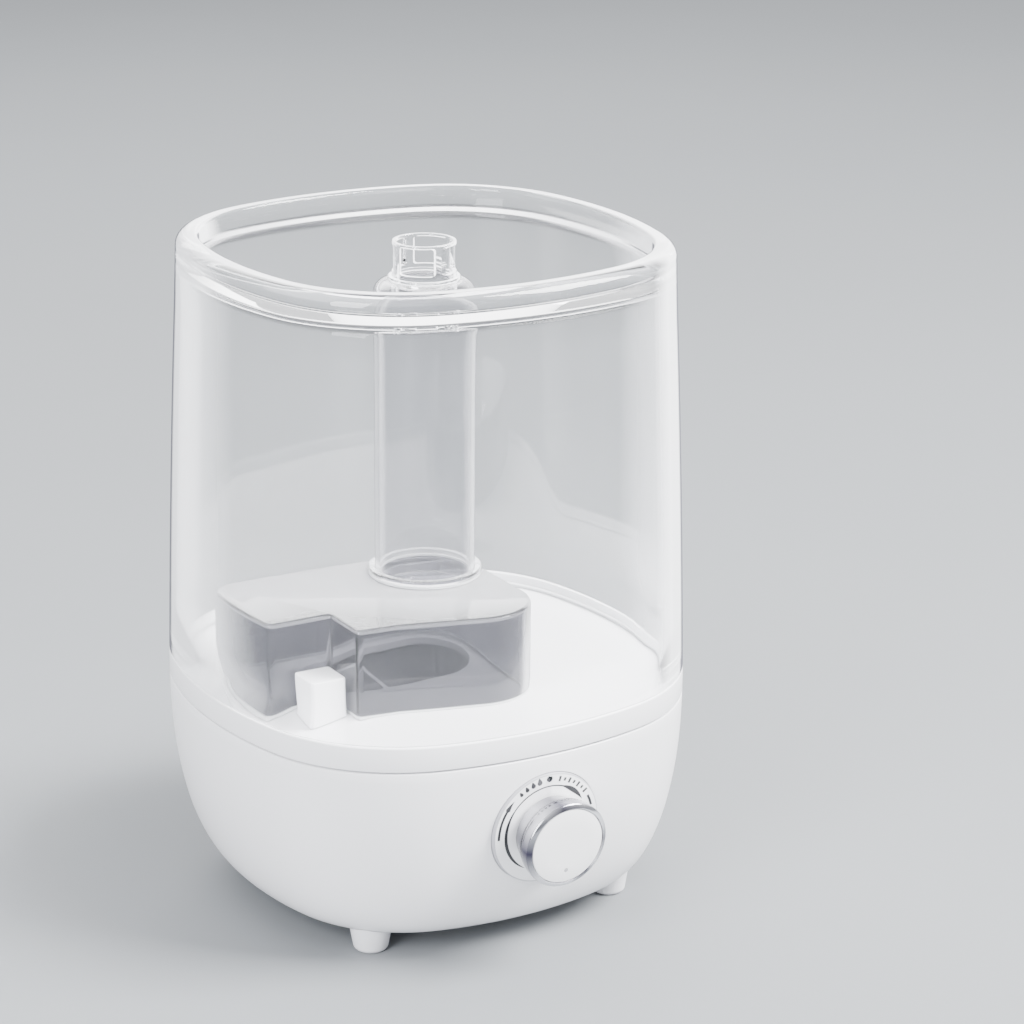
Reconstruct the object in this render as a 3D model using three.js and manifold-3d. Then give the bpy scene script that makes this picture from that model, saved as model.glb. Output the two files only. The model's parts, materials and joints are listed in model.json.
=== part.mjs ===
// Top-fill ultrasonic cool mist humidifier: a white bowl-shaped base on four feet,
// and a clear, slightly tapered tank with a mist tube up its middle.
// Millimetres, +Z up. The origin is on the floor, at the middle of the whole outline.
// The front, with the dial, faces -Y.
import * as THREE from 'three';
import { mergeVertices } from 'three/addons/utils/BufferGeometryUtils.js';
import Module from 'manifold-3d';

const wasm = await Module();
wasm.setup();

// ---- Driving dimensions ------------------------------------------------------------

// Plan outline: a square with bulged sides and round corners.
const HALF = 104.5;              // half the width across the flats, at the seam
const SIDE_ARC = 1.85;           // radius of a side, in half widths
const CORNER_ARC = 0.68;         // radius of a corner, in half widths
const OUTLINE_STEPS = 36;        // facets round the outline
const BOWL_STEPS = 7;            // facets from the seam down to the underside

// Fits.
const GAP = 0.3;                 // between two pieces that touch
const RUN = 0.6;                 // round a piece that moves
const PAST = 5;                  // how far a cutting tool runs past what it cuts

// Screws: head, shank and length below the head, and the holes and bosses made for them.
const COVER_SCREW = {
  head: 3, headHeight: 1.2, shank: 1.2, length: 7, hole: 1.8, recess: 3.4, pilot: 1.5, boss: 4, depth: 8,
};
const DECK_SCREW = { head: 2.8, headHeight: 2, shank: 1, length: 5.4, hole: 1.5, recess: 3.4, pilot: 1.3 };
const DISC_SCREW = { head: 2.6, headHeight: 2, shank: 1, length: 5.6, hole: 1.5, pilot: 1.3, boss: 3 };

// Base.
const FOOT_HEIGHT = 10;
const FOOT_INSET = 3.2;          // foot centres, in from the underside's corners
const FOOT_RADIUS = 9.6;
const FOOT_TIP_RADIUS = 7.4;
const FOOT_PIN = 3;
const BASE_BOTTOM_HALF = 80;     // half width of the flat underside
const SEAM_Z = 91.5;             // top edge of the base shell
const BASE_WALL = 2.6;
const COVER_INSET = 14;          // bottom cover, in from the edge of the underside
const COVER_THICK = 2.8;
const LIP_WIDTH = 6;             // shell lip that the cover closes on
const LEDGE_DROP = 5.5;          // from the seam down to the ledge under the deck
const LEDGE_WIDTH = 5;
const LEDGE_THICK = 3;
const GRILLE = { radius: 18, margin: 6, pitch: 7, slot: 3, corner: 1.4 };

// Deck and water basin.
const DECK_THICK = 2.6;
const DECK_RIM = 4;
const BASIN_DEPTH = 18.9;
const BASIN_WALL = 2.6;
const BASIN_CORNER = 12;
const BASIN_INSET = 18.5;        // from the outline to the basin's left wall
const BASIN_RIGHT = 34;
const BASIN_FRONT = -58;
const BASIN_BACK = 34;

// Air path: fan, duct and chimney, on one vertical axis.
const AIR_X = -42;
const CHIMNEY = { width: 34, depth: 28, wall: 2, rise: 5.7 };
const FAN = {
  size: 50, height: 14, bore: 23.2, hub: 10, drop: 13.1, corner: 4, spoke: 2.6, plate: 2.4,
  blades: 7, bladePitch: 48, bladeWidth: 9.5, bladeThick: 1.2, screwPlace: 21, screwHole: 1.8,
};
const DUCT_WALL = 1.6;

// Transducer, on the tube's axis.
const DISC_RADIUS = 10;
const DISC_THICK = 1.2;
const DISC_HOLE = 8.4;
const RETAINER_HOLE = 6;
const RETAINER_THICK = 2.4;

// Float that reads the water level.
const FLOAT = { x: 14, y: -42, radius: 11, height: 8, post: 2.5 };
const MAGNET = { radius: 2.2, height: 2, place: 7 };

// Drain valve of the tank.
const VALVE_INSET = 34;          // from the outline to the valve's axis
const VALVE = {
  x: VALVE_INSET - HALF, y: -38, size: 16, height: 20, wall: 1.6, corner: 3.5, hole: 4, stem: 1.6,
  portWidth: 6, portHeight: 4, reach: 4.8, wire: 0.35, turns: 5,
};
const VALVE_LIFT = 4;            // how far the base's pin holds the valve open

// Tank.
const SEAM_GAP = 0.8;
const RING_HEIGHT = 10.7;        // white band above the seam
const FLOOR_DROP = 5;            // tank floor below the top of the band
const FLOOR_THICK = 2.6;
const TANK_TOP_Z = 288.5;
const TANK_TAPER = 6.5;          // narrowing from the band to the lip, on each side
const TANK_BULGE = 0.6;          // outward curve of the wall half way up
const TANK_WALL = 3;
const RIM_WIDTH = 9;             // thick rolled lip
const RIM_HEIGHT = 9;
const TONGUE = 2.4;              // bottom edge of the clear wall, inside the white band
const BAND_THICK = 2.4;          // white band outside that edge
const PORT_RADIUS = 19.5;        // ends of the long hole in the tank floor
const SEAL_THICK = 1;

// Clear mist chamber on the tank floor.
const CHAMBER = {
  wall: 2.5, height: 42, lobeMargin: 3.5, lobeFront: -40, wallGap: 9, backMargin: 3, valveGap: 2,
  pocketFront: 6, corner: 6,
};

// Mist tube and the windowed collar in its top.
const TUBE_RADIUS = 21.5;
const TUBE_WALL = 2;
const TUBE_FLANGE = { width: 3, thick: 2 };
const SHOULDER_DROP = 24;        // from the lip's top down to the tube's shoulder
const SHOULDER_RISE = 5.5;
const COLLAR_RADIUS = 13.6;
const COLLAR_WALL = 1.8;
const COLLAR_FLANGE = { width: 1.6, thick: 1.2 };
const COLLAR_DROP = 2;           // from the lip's top down to the collar's
const COLLAR_DEPTH = 8;          // part of the collar inside the tube
const WINDOW = { width: 14.8, sill: 3.2, lintel: 1.2 };

// Dial on the front wall. Its axis leans down with the wall.
const DIAL_MARGIN = 7.7;         // from the seam down to the plate's edge
const DIAL_TILT = THREE.MathUtils.degToRad(6);
const DIAL_PROUD = 0.3;          // plate face beyond the wall, on the axis
const PLATE_RADIUS = 25;
const PLATE_THICK = 3;
const PLATE_CHAMFER = 0.5;
const MOUNT_THICK = 3.7;         // wall behind the plate
const MOUNT_MARGIN = 1.5;        // that wall beyond the plate's edge
const NUT_HOLE = 6.4;
const LENS_INSET = 2.4;          // indicator, in from the plate's edge
const LENS_RADIUS = 1.3;
const SHAFT_RADIUS = 2.4;
const POT = { radius: 8.5, depth: 8, bush: 0.9, short: 0.8 };
const KNOB = {
  back: 15.3, front: 19, height: 17.2, bevel: 1, band: 4.2, rim: 0.4, face: 16.6, seat: 2, foot: 1.2,
  pointer: 11.2, pointerRadius: 0.9,
};

// Power inlet at the back.
const INLET_RISE = 26;           // above the underside
const INLET = {
  radius: 6.4, mouth: 2.9, barrel: 4.4, pin: 1, sunk: 2.2, flange: 1.4, depth: 16, floor: 13,
};

// Electronics on the bottom cover. The parts' places are counted from the board's corner.
const BOARD = {
  inset: 14, front: -18, width: 62, depth: 46, rise: 7, thick: 1.6, post: 2.6, postInset: 4, hole: 1.2,
};
const HEATSINK = { x: 53, y: 26, width: 21.6, depth: 20, height: 16, foot: 3, fin: 1.6, pitch: 5 };
const COIL = { x: 18, y: 14, radius: 6, wire: 2.6 };
const CAPACITOR = { x: 22, y: 36, radius: 5, height: 14.1 };

// ---- Derived levels ----------------------------------------------------------------

const RING_BOTTOM_Z = SEAM_Z + SEAM_GAP;
const RING_TOP_Z = RING_BOTTOM_Z + RING_HEIGHT;
const FLOOR_TOP_Z = RING_TOP_Z - FLOOR_DROP;
const FLOOR_BOTTOM_Z = FLOOR_TOP_Z - FLOOR_THICK;
const SEAT_Z = FLOOR_TOP_Z + GAP + SEAL_THICK + GAP;
const LEDGE_Z = SEAM_Z - LEDGE_DROP;
const DECK_BOTTOM_Z = LEDGE_Z + GAP;
const DECK_TOP_Z = DECK_BOTTOM_Z + DECK_THICK;
const DECK_RIM_Z = SEAM_Z - 1.5;
const DECK_HALF = HALF - BASE_WALL - GAP;
const BASIN_FLOOR_Z = DECK_TOP_Z - BASIN_DEPTH;
const BASIN_UNDER_Z = BASIN_FLOOR_Z - BASIN_WALL;
const CHIMNEY_TOP_Z = DECK_TOP_Z + CHIMNEY.rise;
const CHAMBER_TOP_Z = FLOOR_TOP_Z + CHAMBER.height;
const VALVE_STEM_Z = FLOOR_BOTTOM_Z - VALVE.reach;
const FAN_TOP_Z = BASIN_UNDER_Z - FAN.drop;
const FAN_BOTTOM_Z = FAN_TOP_Z - FAN.height;
const COVER_TOP_Z = FOOT_HEIGHT + COVER_THICK;
const LIP_Z = COVER_TOP_Z + GAP;

const TANK_TOP_HALF = HALF - TANK_TAPER;
const TUBE_SHOULDER_Z = TANK_TOP_Z - SHOULDER_DROP;
const COLLAR_TOP_Z = TANK_TOP_Z - COLLAR_DROP;
const INLET_Z = FOOT_HEIGHT + INLET_RISE;
const DIAL_Z = SEAM_Z - DIAL_MARGIN - PLATE_RADIUS;
const LENS_PLACE = PLATE_RADIUS - LENS_INSET;
const COVER_HALF = BASE_BOTTOM_HALF - COVER_INSET;
const GRILLE_X = GRILLE.radius + GRILLE.margin - COVER_HALF;
const BOARD_X = COVER_HALF - BOARD.inset - BOARD.width;
const BOARD_Z = COVER_TOP_Z + BOARD.rise;
const BOARD_TOP_Z = BOARD_Z + BOARD.thick + GAP;

const BASE_TUCK = HALF - BASE_BOTTOM_HALF;
const OUTER_DROP = SEAM_Z - FOOT_HEIGHT;
const bowlHalf = (z) => BASE_BOTTOM_HALF + BASE_TUCK * Math.sqrt(1 - ((SEAM_Z - z) / OUTER_DROP) ** 2);
const DIAL_Y = -(bowlHalf(DIAL_Z) + DIAL_PROUD);
const KNOB_RIM = KNOB.face + GAP + KNOB.rim;
const BUSH_HOLE = SHAFT_RADIUS + 1.5;
const FRONT_REACH = -DIAL_Y + KNOB.height * Math.cos(DIAL_TILT) + KNOB_RIM * Math.sin(DIAL_TILT);
const AXIS_Y = (FRONT_REACH - HALF) / 2;

// ---- Shape helpers -----------------------------------------------------------------

// Distance from the middle to the outline of half width 1, in the direction of an angle.
function outlineFactor(angle) {
  const centre = cornerCentre();
  const quarter = Math.PI / 2;
  const folded = Math.abs(((angle % quarter) + quarter + quarter / 2) % quarter - quarter / 2);
  const back = SIDE_ARC - 1;
  const sideEnd = Math.atan2(centre, centre + back);
  const tangentX = -back + SIDE_ARC * Math.cos(sideEnd);
  const tangentY = SIDE_ARC * Math.sin(sideEnd);
  if (folded <= Math.atan2(tangentY, tangentX)) {
    return -back * Math.cos(folded) + Math.sqrt(SIDE_ARC ** 2 - (back * Math.sin(folded)) ** 2);
  }
  const along = centre * (Math.cos(folded) + Math.sin(folded));
  const across = centre * (Math.cos(folded) - Math.sin(folded));
  return along + Math.sqrt(CORNER_ARC ** 2 - across ** 2);
}

// The corner arcs' centres lie on the diagonals and touch the side arcs.
function cornerCentre() {
  const back = SIDE_ARC - 1;
  const b = 2 * back;
  const c = back ** 2 - (SIDE_ARC - CORNER_ARC) ** 2;
  return (-b + Math.sqrt(b * b - 8 * c)) / 4;
}

// A closed geometry as a solid, with its faces turned outwards.
function solid(geometry) {
  const plain = geometry.clone();
  plain.deleteAttribute('normal');
  plain.deleteAttribute('uv');
  const merged = mergeVertices(plain, 1e-4);
  const position = merged.getAttribute('position');
  const triangles = [];
  let volume = 0;
  const corners = [new THREE.Vector3(), new THREE.Vector3(), new THREE.Vector3()];
  const index = merged.getIndex();
  for (let i = 0; i < index.count; i += 3) {
    const [a, b, c] = [index.getX(i), index.getX(i + 1), index.getX(i + 2)];
    if (a === b || b === c || a === c) continue;
    triangles.push([a, b, c]);
    [a, b, c].forEach((vertex, k) => corners[k].fromBufferAttribute(position, vertex));
    volume += corners[0].dot(corners[1].clone().cross(corners[2]));
  }
  if (volume < 0) triangles.forEach((triangle) => triangle.reverse());
  return new wasm.Manifold(new wasm.Mesh({
    numProp: 3,
    vertProperties: new Float32Array(position.array),
    triVerts: new Uint32Array(triangles.flat()),
  }));
}

function geometryOf(body) {
  const mesh = body.getMesh();
  const geometry = new THREE.BufferGeometry();
  geometry.setAttribute('position', new THREE.BufferAttribute(new Float32Array(mesh.vertProperties), 3));
  geometry.setIndex(new THREE.BufferAttribute(new Uint32Array(mesh.triVerts), 1));
  geometry.computeVertexNormals();
  return geometry;
}

const union = (...bodies) => bodies.reduce((sum, body) => sum.add(body));
const cut = (body, ...tools) => tools.reduce((rest, tool) => rest.subtract(tool), body);

// A profile of [radius, z] turned about the Z axis.
function turnedGeometry(profile, steps) {
  const points = [...profile, profile[0]].map(([r, z]) => new THREE.Vector2(r, z));
  const closed = profile[0][0] === 0 ? points.slice(0, -1) : points;
  return new THREE.LatheGeometry(closed, steps).rotateX(Math.PI / 2);
}
const turned = (profile, steps = 20) => solid(turnedGeometry(profile, steps));

// The same, following the plan outline: the profile holds [half width, z].
function outlined(profile) {
  const geometry = turnedGeometry(profile, OUTLINE_STEPS);
  const position = geometry.getAttribute('position');
  for (let i = 0; i < position.count; i += 1) {
    const factor = outlineFactor(Math.atan2(position.getY(i), position.getX(i)));
    position.setXY(i, position.getX(i) * factor, position.getY(i) * factor);
  }
  return solid(geometry);
}

function rod(radius, bottom, top, x = 0, y = 0, steps = 12) {
  const geometry = new THREE.CylinderGeometry(radius, radius, top - bottom, steps);
  return solid(geometry.rotateX(Math.PI / 2).translate(x, y, (top + bottom) / 2));
}

function ring(outer, inner, bottom, top, steps = 20) {
  return turned([[inner, bottom], [outer, bottom], [outer, top], [inner, top]], steps);
}

function block(width, depth, height, x, y, bottom) {
  return solid(new THREE.BoxGeometry(width, depth, height).translate(x, y, bottom + height / 2));
}

function roundedRectangle(x0, x1, y0, y1, radius) {
  const shape = new THREE.Shape();
  shape.moveTo(x0 + radius, y0);
  shape.lineTo(x1 - radius, y0);
  shape.absarc(x1 - radius, y0 + radius, radius, -Math.PI / 2, 0);
  shape.lineTo(x1, y1 - radius);
  shape.absarc(x1 - radius, y1 - radius, radius, 0, Math.PI / 2);
  shape.lineTo(x0 + radius, y1);
  shape.absarc(x0 + radius, y1 - radius, radius, Math.PI / 2, Math.PI);
  shape.lineTo(x0, y0 + radius);
  shape.absarc(x0 + radius, y0 + radius, radius, Math.PI, 1.5 * Math.PI);
  return shape;
}

function prism(shape, bottom, top, curveSegments = 4) {
  const depth = top - bottom;
  const geometry = new THREE.ExtrudeGeometry(shape, { depth, bevelEnabled: false, curveSegments });
  return solid(geometry.translate(0, 0, bottom));
}

// A straight-sided body between two outlines with equally many points.
function lofted(lower, bottom, upper, top) {
  const count = lower.length;
  const vertices = [...lower.map((p) => [p.x, p.y, bottom]), ...upper.map((p) => [p.x, p.y, top])].flat();
  const faces = [];
  for (let i = 0; i < count; i += 1) {
    const next = (i + 1) % count;
    faces.push(i, next, count + next, i, count + next, count + i);
  }
  for (const [a, b, c] of THREE.ShapeUtils.triangulateShape(lower, [])) {
    faces.push(c, b, a, count + a, count + b, count + c);
  }
  const geometry = new THREE.BufferGeometry();
  geometry.setAttribute('position', new THREE.BufferAttribute(new Float32Array(vertices), 3));
  geometry.setIndex(faces);
  return solid(geometry);
}

function rectanglePoints(width, depth, x) {
  const corners = [[-1, -1], [1, -1], [1, 1], [-1, 1]];
  return corners.map(([i, j]) => new THREE.Vector2(x + i * width / 2, j * depth / 2));
}

const polar = (radius, angle) => [radius * Math.cos(angle), radius * Math.sin(angle)];
const around = (count, start = 0) => (
  Array.from({ length: count }, (_, i) => start + (2 * Math.PI * i) / count));
const moved = (body, x, y, z) => body.translate([x, y, z]);

// Dial pieces are made about their own axis: z = 0 is the plate's face, +Z points outwards.
const dialMatrix = new THREE.Matrix4()
  .makeRotationX(Math.PI / 2 + DIAL_TILT)
  .setPosition(0, DIAL_Y, DIAL_Z);
const onDial = (body) => body.transform(dialMatrix.elements);

// ---- Base shell, cover and feet ----------------------------------------------------

// Quarter-ellipse bowl wall from the seam down to a flat underside.
function bowlCurve(inset, bottom, steps) {
  return Array.from({ length: steps + 1 }, (_, i) => {
    const angle = (i / steps) * (Math.PI / 2);
    const z = i === steps ? bottom : SEAM_Z - (SEAM_Z - bottom) * Math.sin(angle);
    const half = BASE_BOTTOM_HALF - inset + (i === steps ? 0 : BASE_TUCK * Math.cos(angle));
    return [half, z];
  });
}

function bowlSolid(grow = 0) {
  const bottom = FOOT_HEIGHT - grow;
  return outlined([[0, SEAM_Z], ...bowlCurve(-grow, bottom, BOWL_STEPS), [0, bottom]]);
}

const coverScrewPlaces = around(4).map((angle) => polar(COVER_HALF - LIP_WIDTH / 2, angle));
const deckScrewPlaces = around(4, Math.PI / 4)
  .map((angle) => polar((DECK_HALF - DECK_RIM / 2) * outlineFactor(angle), angle));
const footPlace = (BASE_BOTTOM_HALF * outlineFactor(Math.PI / 4) - FOOT_INSET) / Math.SQRT2;
const footPlaces = [[-1, -1], [1, -1], [-1, 1], [1, 1]].map(([i, j]) => [i * footPlace, j * footPlace]);

function makeBaseShell() {
  const innerBottom = FOOT_HEIGHT + BASE_WALL + GAP;
  const underLedge = LEDGE_Z - LEDGE_THICK - LEDGE_WIDTH;
  const inner = bowlCurve(BASE_WALL, innerBottom, BOWL_STEPS - 2).filter(([, z]) => z < underLedge);
  const rebate = COVER_HALF + GAP;
  const body = outlined([
    ...bowlCurve(0, FOOT_HEIGHT, BOWL_STEPS),
    [rebate, FOOT_HEIGHT],
    [rebate, LIP_Z],
    [rebate - LIP_WIDTH, LIP_Z],
    [rebate - LIP_WIDTH, LIP_Z + BASE_WALL],
    [rebate + BASE_WALL, LIP_Z + BASE_WALL],
    [rebate + BASE_WALL, innerBottom],
    ...inner.reverse(),
    [HALF - BASE_WALL - LEDGE_WIDTH, LEDGE_Z - LEDGE_THICK],
    [HALF - BASE_WALL - LEDGE_WIDTH, LEDGE_Z],
    [HALF - BASE_WALL, LEDGE_Z],
    [HALF - BASE_WALL, SEAM_Z],
  ]);
  const mountDepth = PLATE_THICK + GAP + MOUNT_THICK;
  const deckRoom = outlined([
    [0, LEDGE_Z], [HALF - BASE_WALL, LEDGE_Z], [HALF - BASE_WALL, SEAM_Z], [0, SEAM_Z],
  ]);
  const dialDisc = onDial(rod(PLATE_RADIUS + MOUNT_MARGIN, -mountDepth, PAST, 0, 0, 32));
  const dialMount = cut(dialDisc.intersect(bowlSolid()), deckRoom);
  const inletWall = bowlHalf(INLET_Z);
  const alongY = (body, y) => body.rotate([-90, 0, 0]).translate([0, y, INLET_Z]);
  const inletMount = alongY(rod(INLET.radius + 2.4, -8, 6), inletWall).intersect(bowlSolid());
  const { boss, pilot, depth } = COVER_SCREW;
  const screwBosses = coverScrewPlaces.map(([x, y]) => rod(boss, LIP_Z, LIP_Z + depth, x, y, 10));
  const tools = [
    onDial(rod(PLATE_RADIUS + GAP, -PLATE_THICK - GAP, 12, 0, 0, 32)),
    onDial(rod(BUSH_HOLE, -mountDepth - 4, 0)),
    onDial(rod(LENS_RADIUS + GAP, -mountDepth - 6, 0, 0, LENS_PLACE, 12)),
    alongY(rod(INLET.radius + GAP, -INLET.sunk - INLET.flange - GAP - 0.1, 12), inletWall),
    alongY(rod(INLET.barrel + GAP + 0.1, -INLET.depth - PAST, 0), inletWall),
    ...coverScrewPlaces.map(([x, y]) => rod(pilot, LIP_Z - 1, LIP_Z + depth - 1, x, y, 8)),
    ...deckScrewPlaces.map(([x, y]) => rod(DECK_SCREW.hole, LEDGE_Z - 12, LEDGE_Z + 1, x, y, 8)),
    ...deckScrewPlaces.map(([x, y]) => rod(DECK_SCREW.recess, LEDGE_Z - 12, LEDGE_Z - LEDGE_THICK, x, y)),
    ...footPlaces.map(([x, y]) => rod(FOOT_PIN + GAP, FOOT_HEIGHT - 1, FOOT_HEIGHT + PAST, x, y)),
  ];
  return cut(union(body, dialMount, inletMount, ...screwBosses), ...tools);
}

// Round plastic cups. Their tops follow the bowl's underside, and a pin holds each one.
function makeFoot([x, y]) {
  const tip = 1.2;
  const cup = turned([
    [0, 0], [FOOT_TIP_RADIUS - tip, 0], [FOOT_TIP_RADIUS, tip],
    [FOOT_RADIUS, FOOT_HEIGHT + 4], [0, FOOT_HEIGHT + 4],
  ], 20);
  const pin = rod(FOOT_PIN, FOOT_HEIGHT - 2, FOOT_HEIGHT + BASE_WALL + 1, x, y);
  return union(cut(moved(cup, x, y, 0), bowlSolid(GAP)), pin);
}

const boardPosts = [[0, 0], [0, 1], [1, 0], [1, 1]].map(([i, j]) => [
  BOARD_X + BOARD.postInset + i * (BOARD.width - 2 * BOARD.postInset),
  BOARD.front + BOARD.postInset + j * (BOARD.depth - 2 * BOARD.postInset),
]);

function makeBottomCover() {
  const plate = outlined([
    [0, FOOT_HEIGHT], [COVER_HALF, FOOT_HEIGHT], [COVER_HALF, COVER_TOP_Z], [0, COVER_TOP_Z],
  ]);
  const posts = boardPosts.map(([x, y]) => rod(BOARD.post, COVER_TOP_Z - 1, BOARD_Z - GAP, x, y, 10));
  const top = COVER_TOP_Z + PAST;
  const slots = [-2, -1, 0, 1, 2].map((i) => {
    const y = i * GRILLE.pitch;
    const reach = Math.sqrt(GRILLE.radius ** 2 - y ** 2);
    const half = GRILLE.slot / 2;
    const slot = roundedRectangle(GRILLE_X - reach, GRILLE_X + reach, y - half, y + half, GRILLE.corner);
    return prism(slot, 0, top, 2);
  });
  const recessTop = FOOT_HEIGHT + COVER_SCREW.headHeight + GAP + 0.1;
  const holes = coverScrewPlaces.map(([x, y]) => rod(COVER_SCREW.hole, 0, top, x, y, 8));
  const counterbores = coverScrewPlaces.map(([x, y]) => rod(COVER_SCREW.recess, 0, recessTop, x, y));
  return cut(union(plate, ...posts), ...slots, ...holes, ...counterbores);
}

// A slotted screw whose head is at the bottom.
function makeScrew({ head, headHeight, shank, length }, [x, y], bottom) {
  const top = bottom + headHeight;
  const slot = 0.6;
  const cap = cut(rod(head, bottom, top, 0, 0, 10), block(head * 1.5, slot, slot, 0, 0, bottom));
  return moved(union(cap, rod(shank, top - 0.2, top + length, 0, 0, 6)), x, y, 0);
}

// ---- Deck with the water basin -----------------------------------------------------

const basinShape = (inset) => roundedRectangle(
  BASIN_INSET - HALF + inset, BASIN_RIGHT - inset,
  BASIN_FRONT + inset, BASIN_BACK - inset, BASIN_CORNER - inset);
const chimneyShape = (inset) => roundedRectangle(
  AIR_X - CHIMNEY.width / 2 + inset, AIR_X + CHIMNEY.width / 2 - inset,
  -CHIMNEY.depth / 2 + inset, CHIMNEY.depth / 2 - inset, 4 - inset);
const discScrewPlaces = around(3, Math.PI / 2).map((angle) => polar(DISC_RADIUS + 8.2, angle));
const DISC_BOSS_Z = BASIN_UNDER_Z - 4;

function makeDeck() {
  const plate = outlined([
    [0, DECK_BOTTOM_Z], [DECK_HALF, DECK_BOTTOM_Z], [DECK_HALF, DECK_RIM_Z],
    [DECK_HALF - DECK_RIM, DECK_RIM_Z], [DECK_HALF - DECK_RIM, DECK_TOP_Z], [0, DECK_TOP_Z],
  ]);
  const tub = prism(basinShape(0), BASIN_UNDER_Z, DECK_TOP_Z);
  const hollow = prism(basinShape(BASIN_WALL), BASIN_FLOOR_Z, DECK_TOP_Z + 5);
  const floor = BASIN_FLOOR_Z - 1;
  const additions = [
    prism(chimneyShape(0), floor, CHIMNEY_TOP_Z),
    rod(FLOAT.post, floor, VALVE_STEM_Z - GAP, VALVE.x, VALVE.y),
    rod(FLOAT.post, floor, DECK_TOP_Z - 1, FLOAT.x, FLOAT.y),
    ...discScrewPlaces.map(([x, y]) => rod(DISC_SCREW.boss, DISC_BOSS_Z, floor, x, y, 12)),
  ];
  const below = BASIN_UNDER_Z - PAST;
  const tools = [
    prism(chimneyShape(CHIMNEY.wall), below, CHIMNEY_TOP_Z + PAST),
    rod(DISC_HOLE, below, BASIN_FLOOR_Z + PAST, 0, 0, 24),
    ...discScrewPlaces.map(([x, y]) => rod(DISC_SCREW.pilot, below, BASIN_FLOOR_Z - 1.2, x, y, 10)),
    ...deckScrewPlaces.map(([x, y]) => rod(DECK_SCREW.pilot, DECK_BOTTOM_Z - 2, DECK_RIM_Z - 1, x, y, 10)),
  ];
  return cut(union(cut(union(plate, tub), hollow), ...additions), ...tools);
}

// ---- Transducer under the basin ----------------------------------------------------

const SEAL_TOP_Z = BASIN_UNDER_Z - GAP;
const SEAL_OUTER = DISC_RADIUS + 2.7;
const DISC_Z = SEAL_TOP_Z - GAP - DISC_THICK;
const SEAL_Z = DISC_Z - GAP - 1.4;
const RETAINER_Z = SEAL_Z - GAP;
const RETAINER_BOTTOM_Z = RETAINER_Z - RETAINER_THICK;

function makeDiscSeal() {
  return turned([
    [DISC_HOLE, SEAL_Z], [SEAL_OUTER, SEAL_Z], [SEAL_OUTER, SEAL_TOP_Z],
    [DISC_RADIUS + GAP, SEAL_TOP_Z], [DISC_RADIUS + GAP, DISC_Z - GAP], [DISC_HOLE, DISC_Z - GAP],
  ]);
}

function makeDiscRetainer() {
  const wall = SEAL_OUTER + GAP;
  const bottom = RETAINER_BOTTOM_Z;
  const plateTop = Math.min(RETAINER_Z, DISC_BOSS_Z - GAP);
  const body = turned([
    [RETAINER_HOLE, bottom], [wall + 1.4, bottom], [wall + 1.4, SEAL_TOP_Z], [wall, SEAL_TOP_Z],
    [wall, RETAINER_Z], [RETAINER_HOLE, RETAINER_Z],
  ]);
  const plate = ring(wall + 4, wall + 1, bottom, plateTop);
  const lugs = discScrewPlaces.map(([x, y]) => rod(DISC_SCREW.boss + 0.2, bottom, plateTop, x, y));
  const top = plateTop + PAST;
  const holes = discScrewPlaces.map(([x, y]) => rod(DISC_SCREW.hole, bottom - PAST, top, x, y, 10));
  return cut(union(body, plate, ...lugs), ...holes);
}

// ---- Fan and duct ------------------------------------------------------------------

function makeFanHousing() {
  const half = FAN.size / 2;
  const side = roundedRectangle(AIR_X - half, AIR_X + half, -half, half, FAN.corner);
  const frame = prism(side, FAN_BOTTOM_Z, FAN_TOP_Z, 3);
  const bore = rod(FAN.bore, FAN_BOTTOM_Z - PAST, FAN_TOP_Z + PAST, AIR_X, 0, 32);
  const hub = rod(FAN.hub, FAN_BOTTOM_Z, FAN_BOTTOM_Z + FAN.plate, AIR_X, 0, 20);
  const spokes = [45, 135].map((degrees) => (
    block(2 * FAN.bore + 2, FAN.spoke, FAN.plate, 0, 0, FAN_BOTTOM_Z)
      .rotate([0, 0, degrees])
      .translate([AIR_X, 0, 0])));
  const screwHoles = [[-1, -1], [1, -1], [-1, 1], [1, 1]].map(([i, j]) => (
    rod(FAN.screwHole, FAN_BOTTOM_Z - 1, FAN_TOP_Z + 1, AIR_X + i * FAN.screwPlace, j * FAN.screwPlace, 8)));
  return cut(union(cut(frame, bore), hub, ...spokes), ...screwHoles);
}

function makeImpeller() {
  const bottom = FAN_BOTTOM_Z + 3.4;
  const top = FAN_TOP_Z - 0.6;
  const cup = turned([
    [0, top], [FAN.hub - 1, top], [FAN.hub, top - 1], [FAN.hub, bottom], [FAN.hub - 1.6, bottom],
    [FAN.hub - 1.6, top - 1.8], [1.2, top - 1.8], [1.2, motorTop + GAP], [0, motorTop + GAP],
  ]);
  const reach = FAN.bore - 1 - FAN.hub;
  const root = 0.8;
  const blades = around(FAN.blades).map((angle) => (
    block(reach + root, FAN.bladeThick, FAN.bladeWidth, 0, 0, -FAN.bladeWidth / 2)
      .rotate([FAN.bladePitch, 0, 0])
      .translate([FAN.hub - root + (reach + root) / 2, 0, (bottom + top) / 2])
      .rotate([0, 0, THREE.MathUtils.radToDeg(angle)])));
  return moved(union(cup, ...blades), AIR_X, 0, 0);
}
const MOTOR_RADIUS = 7;
const motorTop = FAN_BOTTOM_Z + 7;

function makeDuct() {
  const bottom = FAN_TOP_Z + GAP;
  const top = BASIN_UNDER_Z - GAP;
  const inset = 2 * DUCT_WALL;
  const { width, depth, wall } = CHIMNEY;
  const sliver = 0.01;
  const outer = lofted(
    rectanglePoints(FAN.size, FAN.size, AIR_X), bottom, rectanglePoints(width, depth, AIR_X), top);
  const inner = lofted(
    rectanglePoints(FAN.size - inset, FAN.size - inset, AIR_X), bottom - sliver,
    rectanglePoints(width - 2 * wall, depth - 2 * wall, AIR_X), top + sliver);
  return cut(outer, inner);
}

// ---- Float -------------------------------------------------------------------------

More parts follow.
